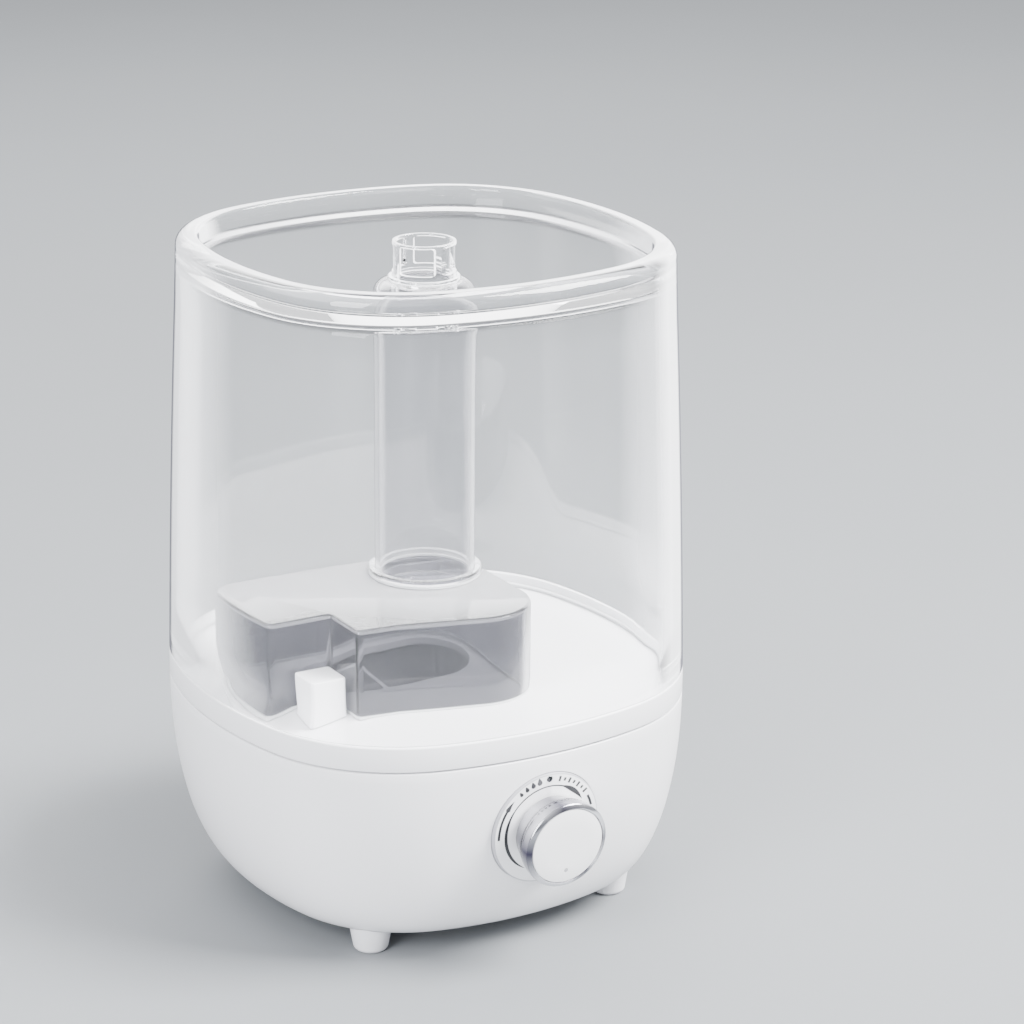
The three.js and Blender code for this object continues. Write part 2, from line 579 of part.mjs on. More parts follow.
const FLOAT_Z = BASIN_FLOOR_Z + RUN;

function makeFloat() {
  const body = turned([
    [FLOAT.post + RUN, FLOAT_Z], [FLOAT.radius - 1, FLOAT_Z], [FLOAT.radius, FLOAT_Z + 1],
    [FLOAT.radius, FLOAT_Z + FLOAT.height - 1], [FLOAT.radius - 1, FLOAT_Z + FLOAT.height],
    [FLOAT.post + RUN, FLOAT_Z + FLOAT.height],
  ]);
  const pocketTop = FLOAT_Z + MAGNET.height + 2 * GAP;
  const pocket = rod(MAGNET.radius + GAP, FLOAT_Z - 1, pocketTop, MAGNET.place, 0, 12);
  return moved(cut(body, pocket), FLOAT.x, FLOAT.y, 0);
}

function makeFloatClip() {
  const top = DECK_TOP_Z - 1.2;
  return moved(ring(FLOAT.post + 2.2, FLOAT.post + GAP, top - 1.6, top, 16), FLOAT.x, FLOAT.y, 0);
}

// ---- Electronics -------------------------------------------------------------------

function makeMainBoard() {
  const { width, depth, front } = BOARD;
  const outline = roundedRectangle(BOARD_X, BOARD_X + width, front, front + depth, 1.5);
  const plate = prism(outline, BOARD_Z, BOARD_Z + BOARD.thick, 2);
  return cut(plate, ...boardPosts.map(([x, y]) => rod(BOARD.hole, BOARD_Z - 1, BOARD_Z + PAST, x, y, 8)));
}

const onBoard = (body) => moved(body, BOARD_X, BOARD.front, BOARD_TOP_Z);

function makeHeatsink() {
  const { x, y, width, depth, height, foot, fin, pitch } = HEATSINK;
  const fins = [-2, -1, 0, 1, 2].map((i) => block(fin, depth, height, x + i * pitch, y, 0));
  return onBoard(union(block(width, depth, foot, x, y, 0), ...fins));
}

function makeCoil() {
  const torus = new THREE.TorusGeometry(COIL.radius, COIL.wire, 8, 20);
  return onBoard(solid(torus.translate(COIL.x, COIL.y, COIL.wire)));
}

function makeCapacitor() {
  const { x, y, radius, height } = CAPACITOR;
  return onBoard(rod(radius, 0, height, x, y, 20));
}

// ---- Dial --------------------------------------------------------------------------

const PLATE_BACK = -PLATE_THICK;
const SHAFT_SEAT = 2.5;
const MOUNT_BACK = PLATE_BACK - GAP - MOUNT_THICK;
const POT_FRONT = MOUNT_BACK - GAP;
const POT_BACK = POT_FRONT - POT.depth;

function makeDialPlate() {
  const plate = turned([
    [NUT_HOLE, PLATE_BACK], [PLATE_RADIUS, PLATE_BACK], [PLATE_RADIUS, -PLATE_CHAMFER],
    [PLATE_RADIUS - PLATE_CHAMFER, 0], [NUT_HOLE, 0],
  ], 32);
  return onDial(cut(plate, rod(LENS_RADIUS + GAP, -10, 10, 0, LENS_PLACE, 12)));
}

const makeLens = () => onDial(rod(LENS_RADIUS, MOUNT_BACK - 1, 0.2, 0, LENS_PLACE, 12));

function makePotentiometer() {
  const bore = SHAFT_RADIUS + GAP;
  const bush = bore + POT.bush;
  const body = turned([
    [bore, POT_BACK], [POT.radius, POT_BACK], [POT.radius, POT_FRONT], [bush, POT_FRONT],
    [bush, -POT.short], [bore, -POT.short],
  ]);
  const lugs = [-5, 0, 5].map((x) => block(1.6, 6, 0.8, x, -POT.radius - 1, POT_FRONT - 5));
  return onDial(union(body, ...lugs));
}

function makePotNut() {
  const nut = rod(NUT_HOLE - 0.8, PLATE_BACK, PLATE_BACK + 2, 0, 0, 6);
  return onDial(cut(nut, rod(BUSH_HOLE, PLATE_BACK - 1, PLATE_BACK + 4)));
}

function makeControlBoard() {
  const back = POT_BACK - GAP - BOARD.thick;
  const plate = prism(roundedRectangle(-18, 18, -14, 22, 2), back, back + BOARD.thick, 2);
  return onDial(cut(plate, rod(SHAFT_RADIUS + 1, back - 2, back + 4)));
}

// Chromed, tapered knob skirt with a hub for the shaft and a seat for the white face.
function makeKnobSkirt() {
  const { back, front, height, bevel, band, face, foot } = KNOB;
  const seat = face + GAP;
  const floor = height - KNOB.seat;
  const hub = SHAFT_RADIUS + GAP;
  const hubOuter = hub + 1.9;
  const hubFoot = foot + 0.8;
  return onDial(turned([
    [0, floor], [seat, floor], [seat, height], [KNOB_RIM, height], [front, height - bevel],
    [front, height - bevel - band], [back, foot], [back - 1.7, foot],
    [front - 2.8, floor - 3.2], [front - 3.6, floor - 2],
    [hubOuter, floor - 2], [hubOuter, hubFoot], [hub, hubFoot],
    [hub, floor - SHAFT_SEAT], [0, floor - SHAFT_SEAT],
  ], 28));
}

function makeKnobFace() {
  const { face, height } = KNOB;
  const bottom = height - KNOB.seat + GAP;
  const disc = turned([
    [0, bottom], [face, bottom], [face, height - 0.2], [face - 0.8, height], [0, height + 0.2],
  ], 28);
  const pocket = rod(KNOB.pointerRadius + GAP, height - 1, height + 2, 0, -KNOB.pointer, 12);
  return onDial(cut(disc, pocket));
}

function makeKnobPointer() {
  const { height, pointer, pointerRadius } = KNOB;
  return onDial(rod(pointerRadius, height - 1 + GAP, height + 0.1, 0, -pointer, 12));
}

function makeKnobShaft() {
  const bottom = POT_FRONT - POT.depth + 1;
  const top = KNOB.height - KNOB.seat - SHAFT_SEAT - GAP;
  const shaft = rod(SHAFT_RADIUS, bottom, top);
  return onDial(cut(shaft, block(2 * SHAFT_RADIUS, 2, 8, 0, SHAFT_RADIUS + 0.4, top - 7)));
}

// ---- Power inlet -------------------------------------------------------------------

function makeInlet() {
  const { radius, mouth, barrel, sunk, flange, depth, floor } = INLET;
  const back = -sunk - flange;
  const rim = turned([[mouth, back], [radius, back], [radius, -sunk], [mouth, -sunk]]);
  const tube = turned([
    [0, -depth], [barrel, -depth], [barrel, back + 0.2], [mouth, back + 0.2], [mouth, -floor], [0, -floor],
  ]);
  const pin = rod(INLET.pin, -floor - 0.5, back - 0.4, 0, 0, 10);
  return union(rim, tube, pin).rotate([-90, 0, 0]).translate([0, bowlHalf(INLET_Z), INLET_Z]);
}

// ---- Tank base and clear shell -----------------------------------------------------

const TANK_START_Z = RING_TOP_Z + GAP;
const TANK_SHOULDER_Z = TANK_TOP_Z - 6;
function tankHalf(z) {
  const share = (z - TANK_START_Z) / (TANK_SHOULDER_Z - TANK_START_Z);
  return HALF - TANK_TAPER * share + TANK_BULGE * 4 * share * (1 - share);
}
const GROOVE_HALF = HALF - BAND_THICK;
const TONGUE_HALF = GROOVE_HALF - GAP;
const TANK_LIP_HALF = DECK_HALF - 1.1;
const opening = (radius) => {
  const shape = new THREE.Shape();
  shape.absarc(0, 0, radius, -Math.PI / 2, Math.PI / 2);
  shape.absarc(AIR_X, 0, radius, Math.PI / 2, 1.5 * Math.PI);
  return shape;
};

function makeTankBase() {
  const lip = DECK_RIM_Z + GAP;
  const lipInner = TANK_LIP_HALF - FLOOR_THICK;
  const body = outlined([
    [0, FLOOR_BOTTOM_Z], [lipInner, FLOOR_BOTTOM_Z], [lipInner, lip], [TANK_LIP_HALF, lip],
    [TANK_LIP_HALF, RING_BOTTOM_Z], [HALF, RING_BOTTOM_Z],
    [HALF, RING_TOP_Z], [GROOVE_HALF, RING_TOP_Z], [GROOVE_HALF, FLOOR_TOP_Z], [0, FLOOR_TOP_Z],
  ]);
  const below = FLOOR_BOTTOM_Z - PAST;
  const above = FLOOR_TOP_Z + PAST;
  const port = prism(opening(PORT_RADIUS), below, above, 8);
  return cut(body, port, rod(VALVE.hole, below, above, VALVE.x, VALVE.y, 16));
}

function makeTankSeal() {
  const inner = TONGUE_HALF - TONGUE;
  const bottom = FLOOR_TOP_Z + GAP;
  const top = bottom + SEAL_THICK;
  return outlined([[inner, bottom], [TONGUE_HALF, bottom], [TONGUE_HALF, top], [inner, top]]);
}

function makeTankShell() {
  const inner = TONGUE_HALF - TONGUE;
  const lip = TANK_TOP_HALF - RIM_WIDTH;
  const underLip = TANK_TOP_Z - RIM_HEIGHT;
  const levels = [1 / 3, 2 / 3].map((share) => TANK_START_Z + share * (TANK_SHOULDER_Z - TANK_START_Z));
  const wallAt = (z) => [tankHalf(z) - TANK_WALL, z];
  return outlined([
    [HALF, TANK_START_Z], ...levels.map((z) => [tankHalf(z), z]), [TANK_TOP_HALF, TANK_SHOULDER_Z],
    [TANK_TOP_HALF - 0.7, TANK_TOP_Z - 3], [TANK_TOP_HALF - 2, TANK_TOP_Z - 1],
    [TANK_TOP_HALF - 4, TANK_TOP_Z], [lip + 2, TANK_TOP_Z], [lip + 0.5, TANK_TOP_Z - 1],
    [lip, TANK_TOP_Z - 2.5], [lip, underLip],
    wallAt(underLip - 5), ...levels.toReversed().map(wallAt), wallAt(TANK_START_Z + 8),
    [inner, TANK_START_Z + 3], [inner, SEAT_Z], [TONGUE_HALF, SEAT_Z], [TONGUE_HALF, TANK_START_Z],
  ]);
}

// ---- Mist chamber, tube and collar -------------------------------------------------

// Plan of the chamber: a round lobe about the tube, and a pocket that follows the tank wall
// and leaves a notch for the valve.
function chamberShape(inset) {
  const tankInner = TONGUE_HALF - TONGUE;
  const sideRadius = SIDE_ARC * tankInner - CHAMBER.wallGap - inset;
  const sideCentre = (SIDE_ARC - 1) * tankInner;
  const sideX = (y) => sideCentre - Math.sqrt(sideRadius ** 2 - y ** 2);
  const lobe = TUBE_RADIUS + CHAMBER.lobeMargin;
  const back = lobe + CHAMBER.backMargin - inset;
  const notch = VALVE.size / 2 + CHAMBER.valveGap + inset;
  const notchX = VALVE.x + notch;
  const notchY = VALVE.y + notch;
  const radius = lobe - inset;
  const pocketFront = VALVE.y - VALVE.size / 2 - CHAMBER.pocketFront + inset;
  const bend = new THREE.Vector2(AIR_X, pocketFront - 2);
  const toLobe = new THREE.Vector2(0, CHAMBER.lobeFront).sub(bend);
  const touch = toLobe.angle() - Math.asin(radius / toLobe.length()) - Math.PI / 2;
  const shape = new THREE.Shape();
  const steps = 6;
  for (let i = 0; i <= steps; i += 1) {
    const y = back - CHAMBER.corner + (notchY - back + CHAMBER.corner) * (i / steps);
    if (i === 0) shape.moveTo(sideX(y), y);
    else shape.lineTo(sideX(y), y);
  }
  shape.lineTo(notchX, notchY);
  shape.lineTo(notchX, pocketFront);
  shape.lineTo(bend.x, bend.y);
  shape.absarc(0, CHAMBER.lobeFront, radius, touch, 0);
  shape.absarc(0, 0, radius, 0, Math.PI / 2);
  shape.lineTo(AIR_X, back);
  shape.lineTo(sideX(back) + CHAMBER.corner, back);
  return shape;
}

function makeChamber() {
  const outer = prism(chamberShape(0), SEAT_Z, CHAMBER_TOP_Z, 8);
  const inner = prism(chamberShape(CHAMBER.wall), SEAT_Z - PAST, CHAMBER_TOP_Z - CHAMBER.wall, 8);
  return cut(outer, inner, rod(TUBE_RADIUS + GAP + 0.2, SEAT_Z, CHAMBER_TOP_Z + PAST, 0, 0, 24));
}

function makeChamberSeal() {
  const bottom = FLOOR_TOP_Z + GAP;
  const outer = prism(chamberShape(0), bottom, bottom + SEAL_THICK, 8);
  return cut(outer, prism(chamberShape(CHAMBER.wall), bottom - 1, bottom + PAST, 8));
}

const TUBE_FLANGE_Z = CHAMBER_TOP_Z + GAP + SEAL_THICK + GAP;

function makeTube() {
  const inner = TUBE_RADIUS - TUBE_WALL;
  const hole = COLLAR_RADIUS + GAP;
  const dome = (radius, base, rise) => [0, 30, 60, 90].map((degrees) => {
    const angle = THREE.MathUtils.degToRad(degrees);
    return [hole + (radius - hole) * Math.cos(angle), base + rise * Math.sin(angle)];
  });
  const bottom = CHAMBER_TOP_Z - CHAMBER.wall - 4;
  const flange = TUBE_RADIUS + TUBE_FLANGE.width;
  const flangeTop = TUBE_FLANGE_Z + TUBE_FLANGE.thick;
  return turned([
    [TUBE_RADIUS, bottom], [TUBE_RADIUS, TUBE_FLANGE_Z], [flange, TUBE_FLANGE_Z],
    [flange, flangeTop], [TUBE_RADIUS, flangeTop],
    ...dome(TUBE_RADIUS, TUBE_SHOULDER_Z, SHOULDER_RISE),
    ...dome(inner, TUBE_SHOULDER_Z - 0.5, SHOULDER_RISE - 1.5).reverse(),
    [inner, bottom],
  ], 24);
}

function makeTubeSeal() {
  const bottom = CHAMBER_TOP_Z + GAP;
  const outer = TUBE_RADIUS + TUBE_FLANGE.width - GAP;
  return ring(outer, TUBE_RADIUS + GAP, bottom, bottom + SEAL_THICK, 24);
}

// The collar's four windows let stray water drain back while mist rises through it.
function makeCollar() {
  const seat = TUBE_SHOULDER_Z + SHOULDER_RISE + GAP;
  const inner = COLLAR_RADIUS - COLLAR_WALL;
  const flange = COLLAR_RADIUS + COLLAR_FLANGE.width;
  const flangeTop = seat + COLLAR_FLANGE.thick;
  const body = turned([
    [inner, seat - COLLAR_DEPTH], [COLLAR_RADIUS, seat - COLLAR_DEPTH], [COLLAR_RADIUS, seat],
    [flange, seat], [flange, flangeTop], [COLLAR_RADIUS, flangeTop], [COLLAR_RADIUS, COLLAR_TOP_Z],
    [inner, COLLAR_TOP_Z],
  ], 24);
  const { width, sill, lintel } = WINDOW;
  const windows = [45, 135].map((degrees) => (
    block(2 * flange + PAST, width, COLLAR_TOP_Z - lintel - seat - sill, 0, 0, seat + sill)
      .rotate([0, 0, degrees])));
  return cut(body, ...windows);
}

// ---- Tank valve --------------------------------------------------------------------

const WASHER_Z = FLOOR_TOP_Z + GAP + VALVE_LIFT;
const WASHER_THICK = 2;
const STEM_TOP_Z = FLOOR_TOP_Z + GAP + VALVE.height - VALVE.wall - 2.2;
const SPRING_FOOT_Z = WASHER_Z + WASHER_THICK + 2 * GAP + 1;

function makeValveHousing() {
  const bottom = FLOOR_TOP_Z + GAP;
  const side = (inset) => {
    const half = VALVE.size / 2 - inset;
    const corner = VALVE.corner - inset;
    return roundedRectangle(VALVE.x - half, VALVE.x + half, VALVE.y - half, VALVE.y + half, corner);
  };
  const outer = prism(side(0), bottom, bottom + VALVE.height);
  const inner = prism(side(VALVE.wall), bottom - 1, bottom + VALVE.height - VALVE.wall);
  const reach = VALVE.size / 2;
  const { portWidth, portHeight } = VALVE;
  const portX = block(reach, portWidth, portHeight + 1, VALVE.x + reach, VALVE.y, bottom - 1);
  const portY = block(portWidth, reach, portHeight + 1, VALVE.x, VALVE.y + reach, bottom - 1);
  return cut(outer, inner, portX, portY);
}

function makeValveStem() {
  const flange = VALVE.hole + 1.2;
  const flangeZ = WASHER_Z + WASHER_THICK + GAP;
  return moved(turned([
    [0, VALVE_STEM_Z], [VALVE.stem, VALVE_STEM_Z], [VALVE.stem, flangeZ], [flange, flangeZ],
    [flange, flangeZ + 1], [VALVE.stem, flangeZ + 1], [VALVE.stem, STEM_TOP_Z], [0, STEM_TOP_Z],
  ], 16), VALVE.x, VALVE.y, 0);
}

function makeValveWasher() {
  const washer = ring(VALVE.hole + 1.6, VALVE.stem + GAP, WASHER_Z, WASHER_Z + WASHER_THICK, 20);
  return moved(washer, VALVE.x, VALVE.y, 0);
}

class Helix extends THREE.Curve {
  constructor(radius, bottom, top, turns) {
    super();
    Object.assign(this, { radius, bottom, top, turns });
  }

  getPoint(t, target = new THREE.Vector3()) {
    const angle = 2 * Math.PI * this.turns * t;
    const z = this.bottom + (this.top - this.bottom) * t;
    return target.set(this.radius * Math.cos(angle), this.radius * Math.sin(angle), z);
  }
}

function makeValveSpring() {
  const { wire, turns } = VALVE;
  const top = FLOOR_TOP_Z + GAP + VALVE.height - VALVE.wall - GAP;
  const path = new Helix(VALVE.stem + 1.6, SPRING_FOOT_Z + wire, top - wire, turns);
  const section = new THREE.Shape(rectanglePoints(2 * wire, 2 * wire, 0));
  const steps = turns * 9;
  const geometry = new THREE.ExtrudeGeometry(section, { steps, curveSegments: 1, extrudePath: path });
  return moved(solid(geometry), VALVE.x, VALVE.y, 0);
}

// ---- Assembly ----------------------------------------------------------------------

const finish = (color, roughness, metalness = 0, opacity = 1) => () => (
  new THREE.MeshStandardMaterial({ color, roughness, metalness, opacity, transparent: opacity < 1 }));
const white = finish(0xf3f3f4, 0.35);
const offWhite = finish(0xe9e9eb, 0.5);
const clear = finish(0xe6eaee, 0.06, 0, 0.25);
const silicone = finish(0xdedfe0, 0.7);
const chrome = finish(0xc9c9cf, 0.12, 1);
const steel = finish(0xb2b4b6, 0.3, 1);
const aluminium = finish(0xc4c6c8, 0.35, 1);
const black = finish(0x202226, 0.5);
const board = finish(0x1f6b45, 0.5);
const copper = finish(0xb4683a, 0.35, 1);
const grey = finish(0x8d8f94, 0.4);
const lens = finish(0x4e5560, 0.15);

const humidifier = new THREE.Group();
humidifier.position.set(0, AXIS_Y, 0);

function place(name, body, makeMaterial) {
  const mesh = new THREE.Mesh(geometryOf(body), makeMaterial());
  mesh.name = name;
  humidifier.add(mesh);
}

place('base_shell', makeBaseShell(), white);
place('basin_deck', makeDeck(), offWhite);
place('bottom_cover', makeBottomCover(), offWhite);
['foot_front_left', 'foot_front_right', 'foot_rear_left', 'foot_rear_right']
  .forEach((name, i) => place(name, makeFoot(footPlaces[i]), offWhite));
coverScrewPlaces.forEach((point, i) =>
  place(`cover_screw_${i + 1}`, makeScrew(COVER_SCREW, point, FOOT_HEIGHT + 0.1), steel));
const deckScrewBottom = LEDGE_Z - LEDGE_THICK - GAP - DECK_SCREW.headHeight;
deckScrewPlaces.forEach((point, i) =>
  place(`deck_screw_${i + 1}`, makeScrew(DECK_SCREW, point, deckScrewBottom), steel));

place('transducer_disc', rod(DISC_RADIUS, DISC_Z, DISC_Z + DISC_THICK, 0, 0, 32), steel);
place('transducer_seal', makeDiscSeal(), silicone);
place('transducer_retainer', makeDiscRetainer(), aluminium);
const discScrewBottom = RETAINER_BOTTOM_Z - GAP - DISC_SCREW.headHeight;
discScrewPlaces.forEach((point, i) =>
  place(`transducer_screw_${i + 1}`, makeScrew(DISC_SCREW, point, discScrewBottom), steel));

place('fan_housing', makeFanHousing(), black);
place('fan_motor', rod(MOTOR_RADIUS, FAN_BOTTOM_Z + FAN.plate + GAP, motorTop, AIR_X, 0, 20), grey);
place('fan_impeller', makeImpeller(), black);
place('air_duct', makeDuct(), black);

place('float_ring', makeFloat(), offWhite);
place('float_magnet', rod(MAGNET.radius, FLOAT_Z + GAP, FLOAT_Z + GAP + MAGNET.height,
  FLOAT.x + MAGNET.place, FLOAT.y, 12), steel);
place('float_clip', makeFloatClip(), offWhite);
place('reed_switch', block(14, 4, 3, FLOAT.x, FLOAT.y, BASIN_UNDER_Z - GAP - 3), black);

place('main_board', makeMainBoard(), board);
place('heatsink', makeHeatsink(), aluminium);
place('capacitor', makeCapacitor(), black);
place('inductor_coil', makeCoil(), copper);
place('power_inlet', makeInlet(), black);

place('dial_plate', makeDialPlate(), white);
place('indicator_lens', makeLens(), lens);
place('potentiometer', makePotentiometer(), steel);
place('potentiometer_nut', makePotNut(), steel);
place('control_board', makeControlBoard(), board);
place('knob_skirt', makeKnobSkirt(), chrome);
place('knob_face', makeKnobFace(), white);
place('knob_pointer', makeKnobPointer(), grey);
place('knob_shaft', makeKnobShaft(), steel);

place('tank_base', makeTankBase(), white);
place('tank_seal', makeTankSeal(), silicone);
place('tank_shell', makeTankShell(), clear);
place('mist_chamber', makeChamber(), clear);
place('chamber_seal', makeChamberSeal(), silicone);
place('mist_tube', makeTube(), clear);
place('tube_seal', makeTubeSeal(), silicone);
place('mist_collar', makeCollar(), clear);
place('valve_housing', makeValveHousing(), white);
place('valve_stem', makeValveStem(), offWhite);
place('valve_washer', makeValveWasher(), silicone);
place('valve_spring', makeValveSpring(), steel);

export default humidifier;
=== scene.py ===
# %% [markdown]
# # A cool mist humidifier, piece by piece
# The machine comes apart into a white base with a dial, a white floor ring, and a clear tank
# with a mist tube up its middle. A working frame with every part at its real size and place
# already exists. This lesson gives each part that shows a smooth shape and a real finish.
# We start by loading the frame, and we measure it before we add anything.

# %% Load the frame
import json
from math import atan2, cos, degrees, hypot, pi, radians, sin, sqrt

import bmesh
import bpy
from mathutils import Matrix, Vector


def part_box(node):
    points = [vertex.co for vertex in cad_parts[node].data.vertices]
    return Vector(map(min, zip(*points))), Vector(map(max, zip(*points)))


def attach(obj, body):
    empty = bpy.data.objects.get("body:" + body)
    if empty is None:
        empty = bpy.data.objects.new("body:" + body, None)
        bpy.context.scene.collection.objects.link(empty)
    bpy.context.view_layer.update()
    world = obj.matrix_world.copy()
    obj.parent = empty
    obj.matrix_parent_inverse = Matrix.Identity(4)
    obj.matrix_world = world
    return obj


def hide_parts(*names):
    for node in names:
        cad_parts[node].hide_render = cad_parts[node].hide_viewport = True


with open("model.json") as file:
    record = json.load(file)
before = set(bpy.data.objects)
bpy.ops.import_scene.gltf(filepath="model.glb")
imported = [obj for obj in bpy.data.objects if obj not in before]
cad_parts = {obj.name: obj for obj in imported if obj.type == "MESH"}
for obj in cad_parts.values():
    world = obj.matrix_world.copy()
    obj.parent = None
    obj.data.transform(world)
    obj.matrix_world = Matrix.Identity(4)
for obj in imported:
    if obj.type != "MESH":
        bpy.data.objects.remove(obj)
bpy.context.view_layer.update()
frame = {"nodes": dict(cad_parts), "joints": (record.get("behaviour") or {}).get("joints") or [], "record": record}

# %% [markdown]
# Everything is in metres. Real parts are easier to think about in millimetres, so one name
# turns them into metres. Places are read from the frame's own parts: a piece that stands for a
# part takes its heights and widths from that part's box, and never from a guess.

# %% Measure the frame
MM = 0.001
GAP = 0.3 * MM

BAND_LOW, BAND_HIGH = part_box("tank_base")
SHELL_LOW, SHELL_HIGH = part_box("base_shell")
TANK_LOW, TANK_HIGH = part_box("tank_shell")
CHAMBER_LOW, CHAMBER_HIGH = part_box("mist_chamber")
TUBE_LOW, TUBE_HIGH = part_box("mist_tube")
DECK_LOW, DECK_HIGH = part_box("basin_deck")
FAN_LOW, FAN_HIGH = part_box("fan_housing")

HALF = (BAND_HIGH.x - BAND_LOW.x) / 2
AXIS_Y = (BAND_HIGH.y + BAND_LOW.y) / 2
FAN_X = (FAN_LOW.x + FAN_HIGH.x) / 2
SEAM_Z = SHELL_HIGH.z
UNDERSIDE_Z = SHELL_LOW.z
BAND_TOP_Z = BAND_HIGH.z
TANK_TOP_Z = TANK_HIGH.z
UNDERSIDE_HALF = HALF - 24.5 * MM
print(f"half width {HALF * 1000:.1f} mm, seam at {SEAM_Z * 1000:.1f} mm, top at {TANK_TOP_Z * 1000:.1f} mm")

# %% [markdown]
# Seen from above the body is neither a square nor a circle: its four sides are shallow arcs
# and its corners are tighter arcs that meet them smoothly. One function gives the distance
# from the middle to that outline in any direction, for a half width of one. With it, any round
# shape turned on the axis can be pushed out to the body's outline.

# %% The outline seen from above
SIDE_ARC = 1.85
CORNER_ARC = 0.68


def corner_centre():
    back = SIDE_ARC - 1
    rest = back**2 - (SIDE_ARC - CORNER_ARC) ** 2
    return (-2 * back + sqrt(4 * back**2 - 8 * rest)) / 4


def outline_factor(angle):
    centre = corner_centre()
    back = SIDE_ARC - 1
    folded = abs((angle + pi / 4) % (pi / 2) - pi / 4)
    end = atan2(centre, centre + back)
    if folded <= atan2(SIDE_ARC * sin(end), SIDE_ARC * cos(end) - back):
        return -back * cos(folded) + sqrt(SIDE_ARC**2 - (back * sin(folded)) ** 2)
    along = centre * (cos(folded) + sin(folded))
    across = centre * (cos(folded) - sin(folded))
    return along + sqrt(CORNER_ARC**2 - across**2)


print(f"corner reach {outline_factor(pi / 4):.3f} half widths")

# %% [markdown]
# Most of the machine is moulded in round tools, so most pieces start as a profile that is spun
# round an axis. Spinning a chain of edges gives clean rings of quads that light flows over
# evenly. Afterwards chosen corners get a small bevel, because a moulded edge is never razor
# sharp, and the bevel is what catches a highlight.

# %% Spin a profile
ROUND_STEPS = 96
OUTLINE_STEPS = 144
TOUCH = 2e-6


def spun(profile, steps=ROUND_STEPS, soften=()):
    """A closed profile of (radius, height) corners, turned once round Z. soften holds
    (corner number, bevel width, segments)."""
    bm = bmesh.new()
    corners = [bm.verts.new((radius, 0, height)) for radius, height in profile]
    for first, second in zip(corners, corners[1:] + corners[:1]):
        if max(first.co.x, second.co.x) > 0:
            bm.edges.new((first, second))
    bmesh.ops.spin(bm, geom=bm.verts[:] + bm.edges[:], cent=(0, 0, 0), axis=(0, 0, 1),
                   angle=2 * pi, steps=steps, use_merge=True)
    bmesh.ops.remove_doubles(bm, verts=bm.verts, dist=1e-7)
    bmesh.ops.dissolve_degenerate(bm, edges=bm.edges, dist=1e-7)
    bmesh.ops.recalc_face_normals(bm, faces=bm.faces)
    for number, width, segments in soften:
        bevel(bm, ring_edges(bm, *profile[number]), width, segments)
    return bm


def ring_edges(bm, radius, height):
    def on_ring(vertex):
        return abs(vertex.co.z - height) < TOUCH and abs(vertex.co.xy.length - radius) < TOUCH
    return [edge for edge in bm.edges if all(on_ring(vertex) for vertex in edge.verts)]


def bevel(bm, edges, width, segments=3):
    bmesh.ops.bevel(bm, geom=edges, offset=width, offset_type="OFFSET", segments=segments,
                    profile=0.5, affect="EDGES", material=-1, clamp_overlap=True)


def outlined(profile, soften=()):
    """The same, pushed out from a circle to the body's outline and set on the body's axis."""
    bm = spun(profile, OUTLINE_STEPS, soften)
    for vertex in bm.verts:
        factor = outline_factor(atan2(vertex.co.y, vertex.co.x))
        vertex.co.x *= factor
        vertex.co.y *= factor
    return moved(bm, 0, AXIS_Y, 0)


def moved(bm, x, y, z):
    bmesh.ops.translate(bm, verts=bm.verts, vec=(x, y, z))
    return bm


def turned(bm, angle, axis="Z"):
    """Turned about the origin by an angle in degrees."""
    bmesh.ops.rotate(bm, cent=(0, 0, 0), matrix=Matrix.Rotation(radians(angle), 3, axis),
                     verts=bm.verts)
    return bm


# %% [markdown]
# Ribs, boxes and pockets are not round. They start as one flat face that is extruded upwards.
# An upright edge is easy to recognise, so its corners can be rounded by name as well.

# %% Extrude a flat shape
def raised(bm, height):
    """Gives flat faces a thickness, straight up."""
    grown = bmesh.ops.extrude_face_region(bm, geom=bm.faces[:])["geom"]
    bmesh.ops.translate(bm, verts=[item for item in grown if isinstance(item, bmesh.types.BMVert)],
                        vec=(0, 0, height))
    bmesh.ops.recalc_face_normals(bm, faces=bm.faces)
    return bm


def prism(points, bottom, top):
    bm = bmesh.new()
    bm.faces.new([bm.verts.new((x, y, bottom)) for x, y in points])
    return raised(bm, top - bottom)


def box(width, depth, bottom, top, x=0, y=0):
    half_x, half_y = width / 2, depth / 2
    return prism([(x - half_x, y - half_y), (x + half_x, y - half_y),
                  (x + half_x, y + half_y), (x - half_x, y + half_y)], bottom, top)


def upright_edges(bm):
    return [edge for edge in bm.edges if (edge.verts[0].co - edge.verts[1].co).xy.length < TOUCH]


def level_edges(bm, height):
    return [edge for edge in bm.edges if all(abs(vertex.co.z - height) < TOUCH for vertex in edge.verts)]


def rounded_box(width, depth, bottom, top, x, y, corner, edge=0.0):
    bm = box(width, depth, bottom, top, x, y)
    bevel(bm, upright_edges(bm), corner, 8)
    if edge:
        bevel(bm, level_edges(bm, top), edge, 3)
    return bm


def arc(x, y, radius, start, end, steps):
    """Points on an arc, with its two ends."""
    angles = [start + (end - start) * i / steps for i in range(steps + 1)]
    return [(x + radius * cos(a), y + radius * sin(a)) for a in angles]


# %% [markdown]
# Holes and pockets are cut as a machinist would, with a second solid that is taken away. The
# Boolean modifier does that. It works on objects, so each mesh is put in the scene for a
# moment, and the cutters are thrown away.

# %% Cut and join solids
def as_object(name, bm):
    mesh = bpy.data.meshes.new(name)
    bm.to_mesh(mesh)
    bm.free()
    made = bpy.data.objects.new(name, mesh)
    bpy.context.scene.collection.objects.link(made)
    return made


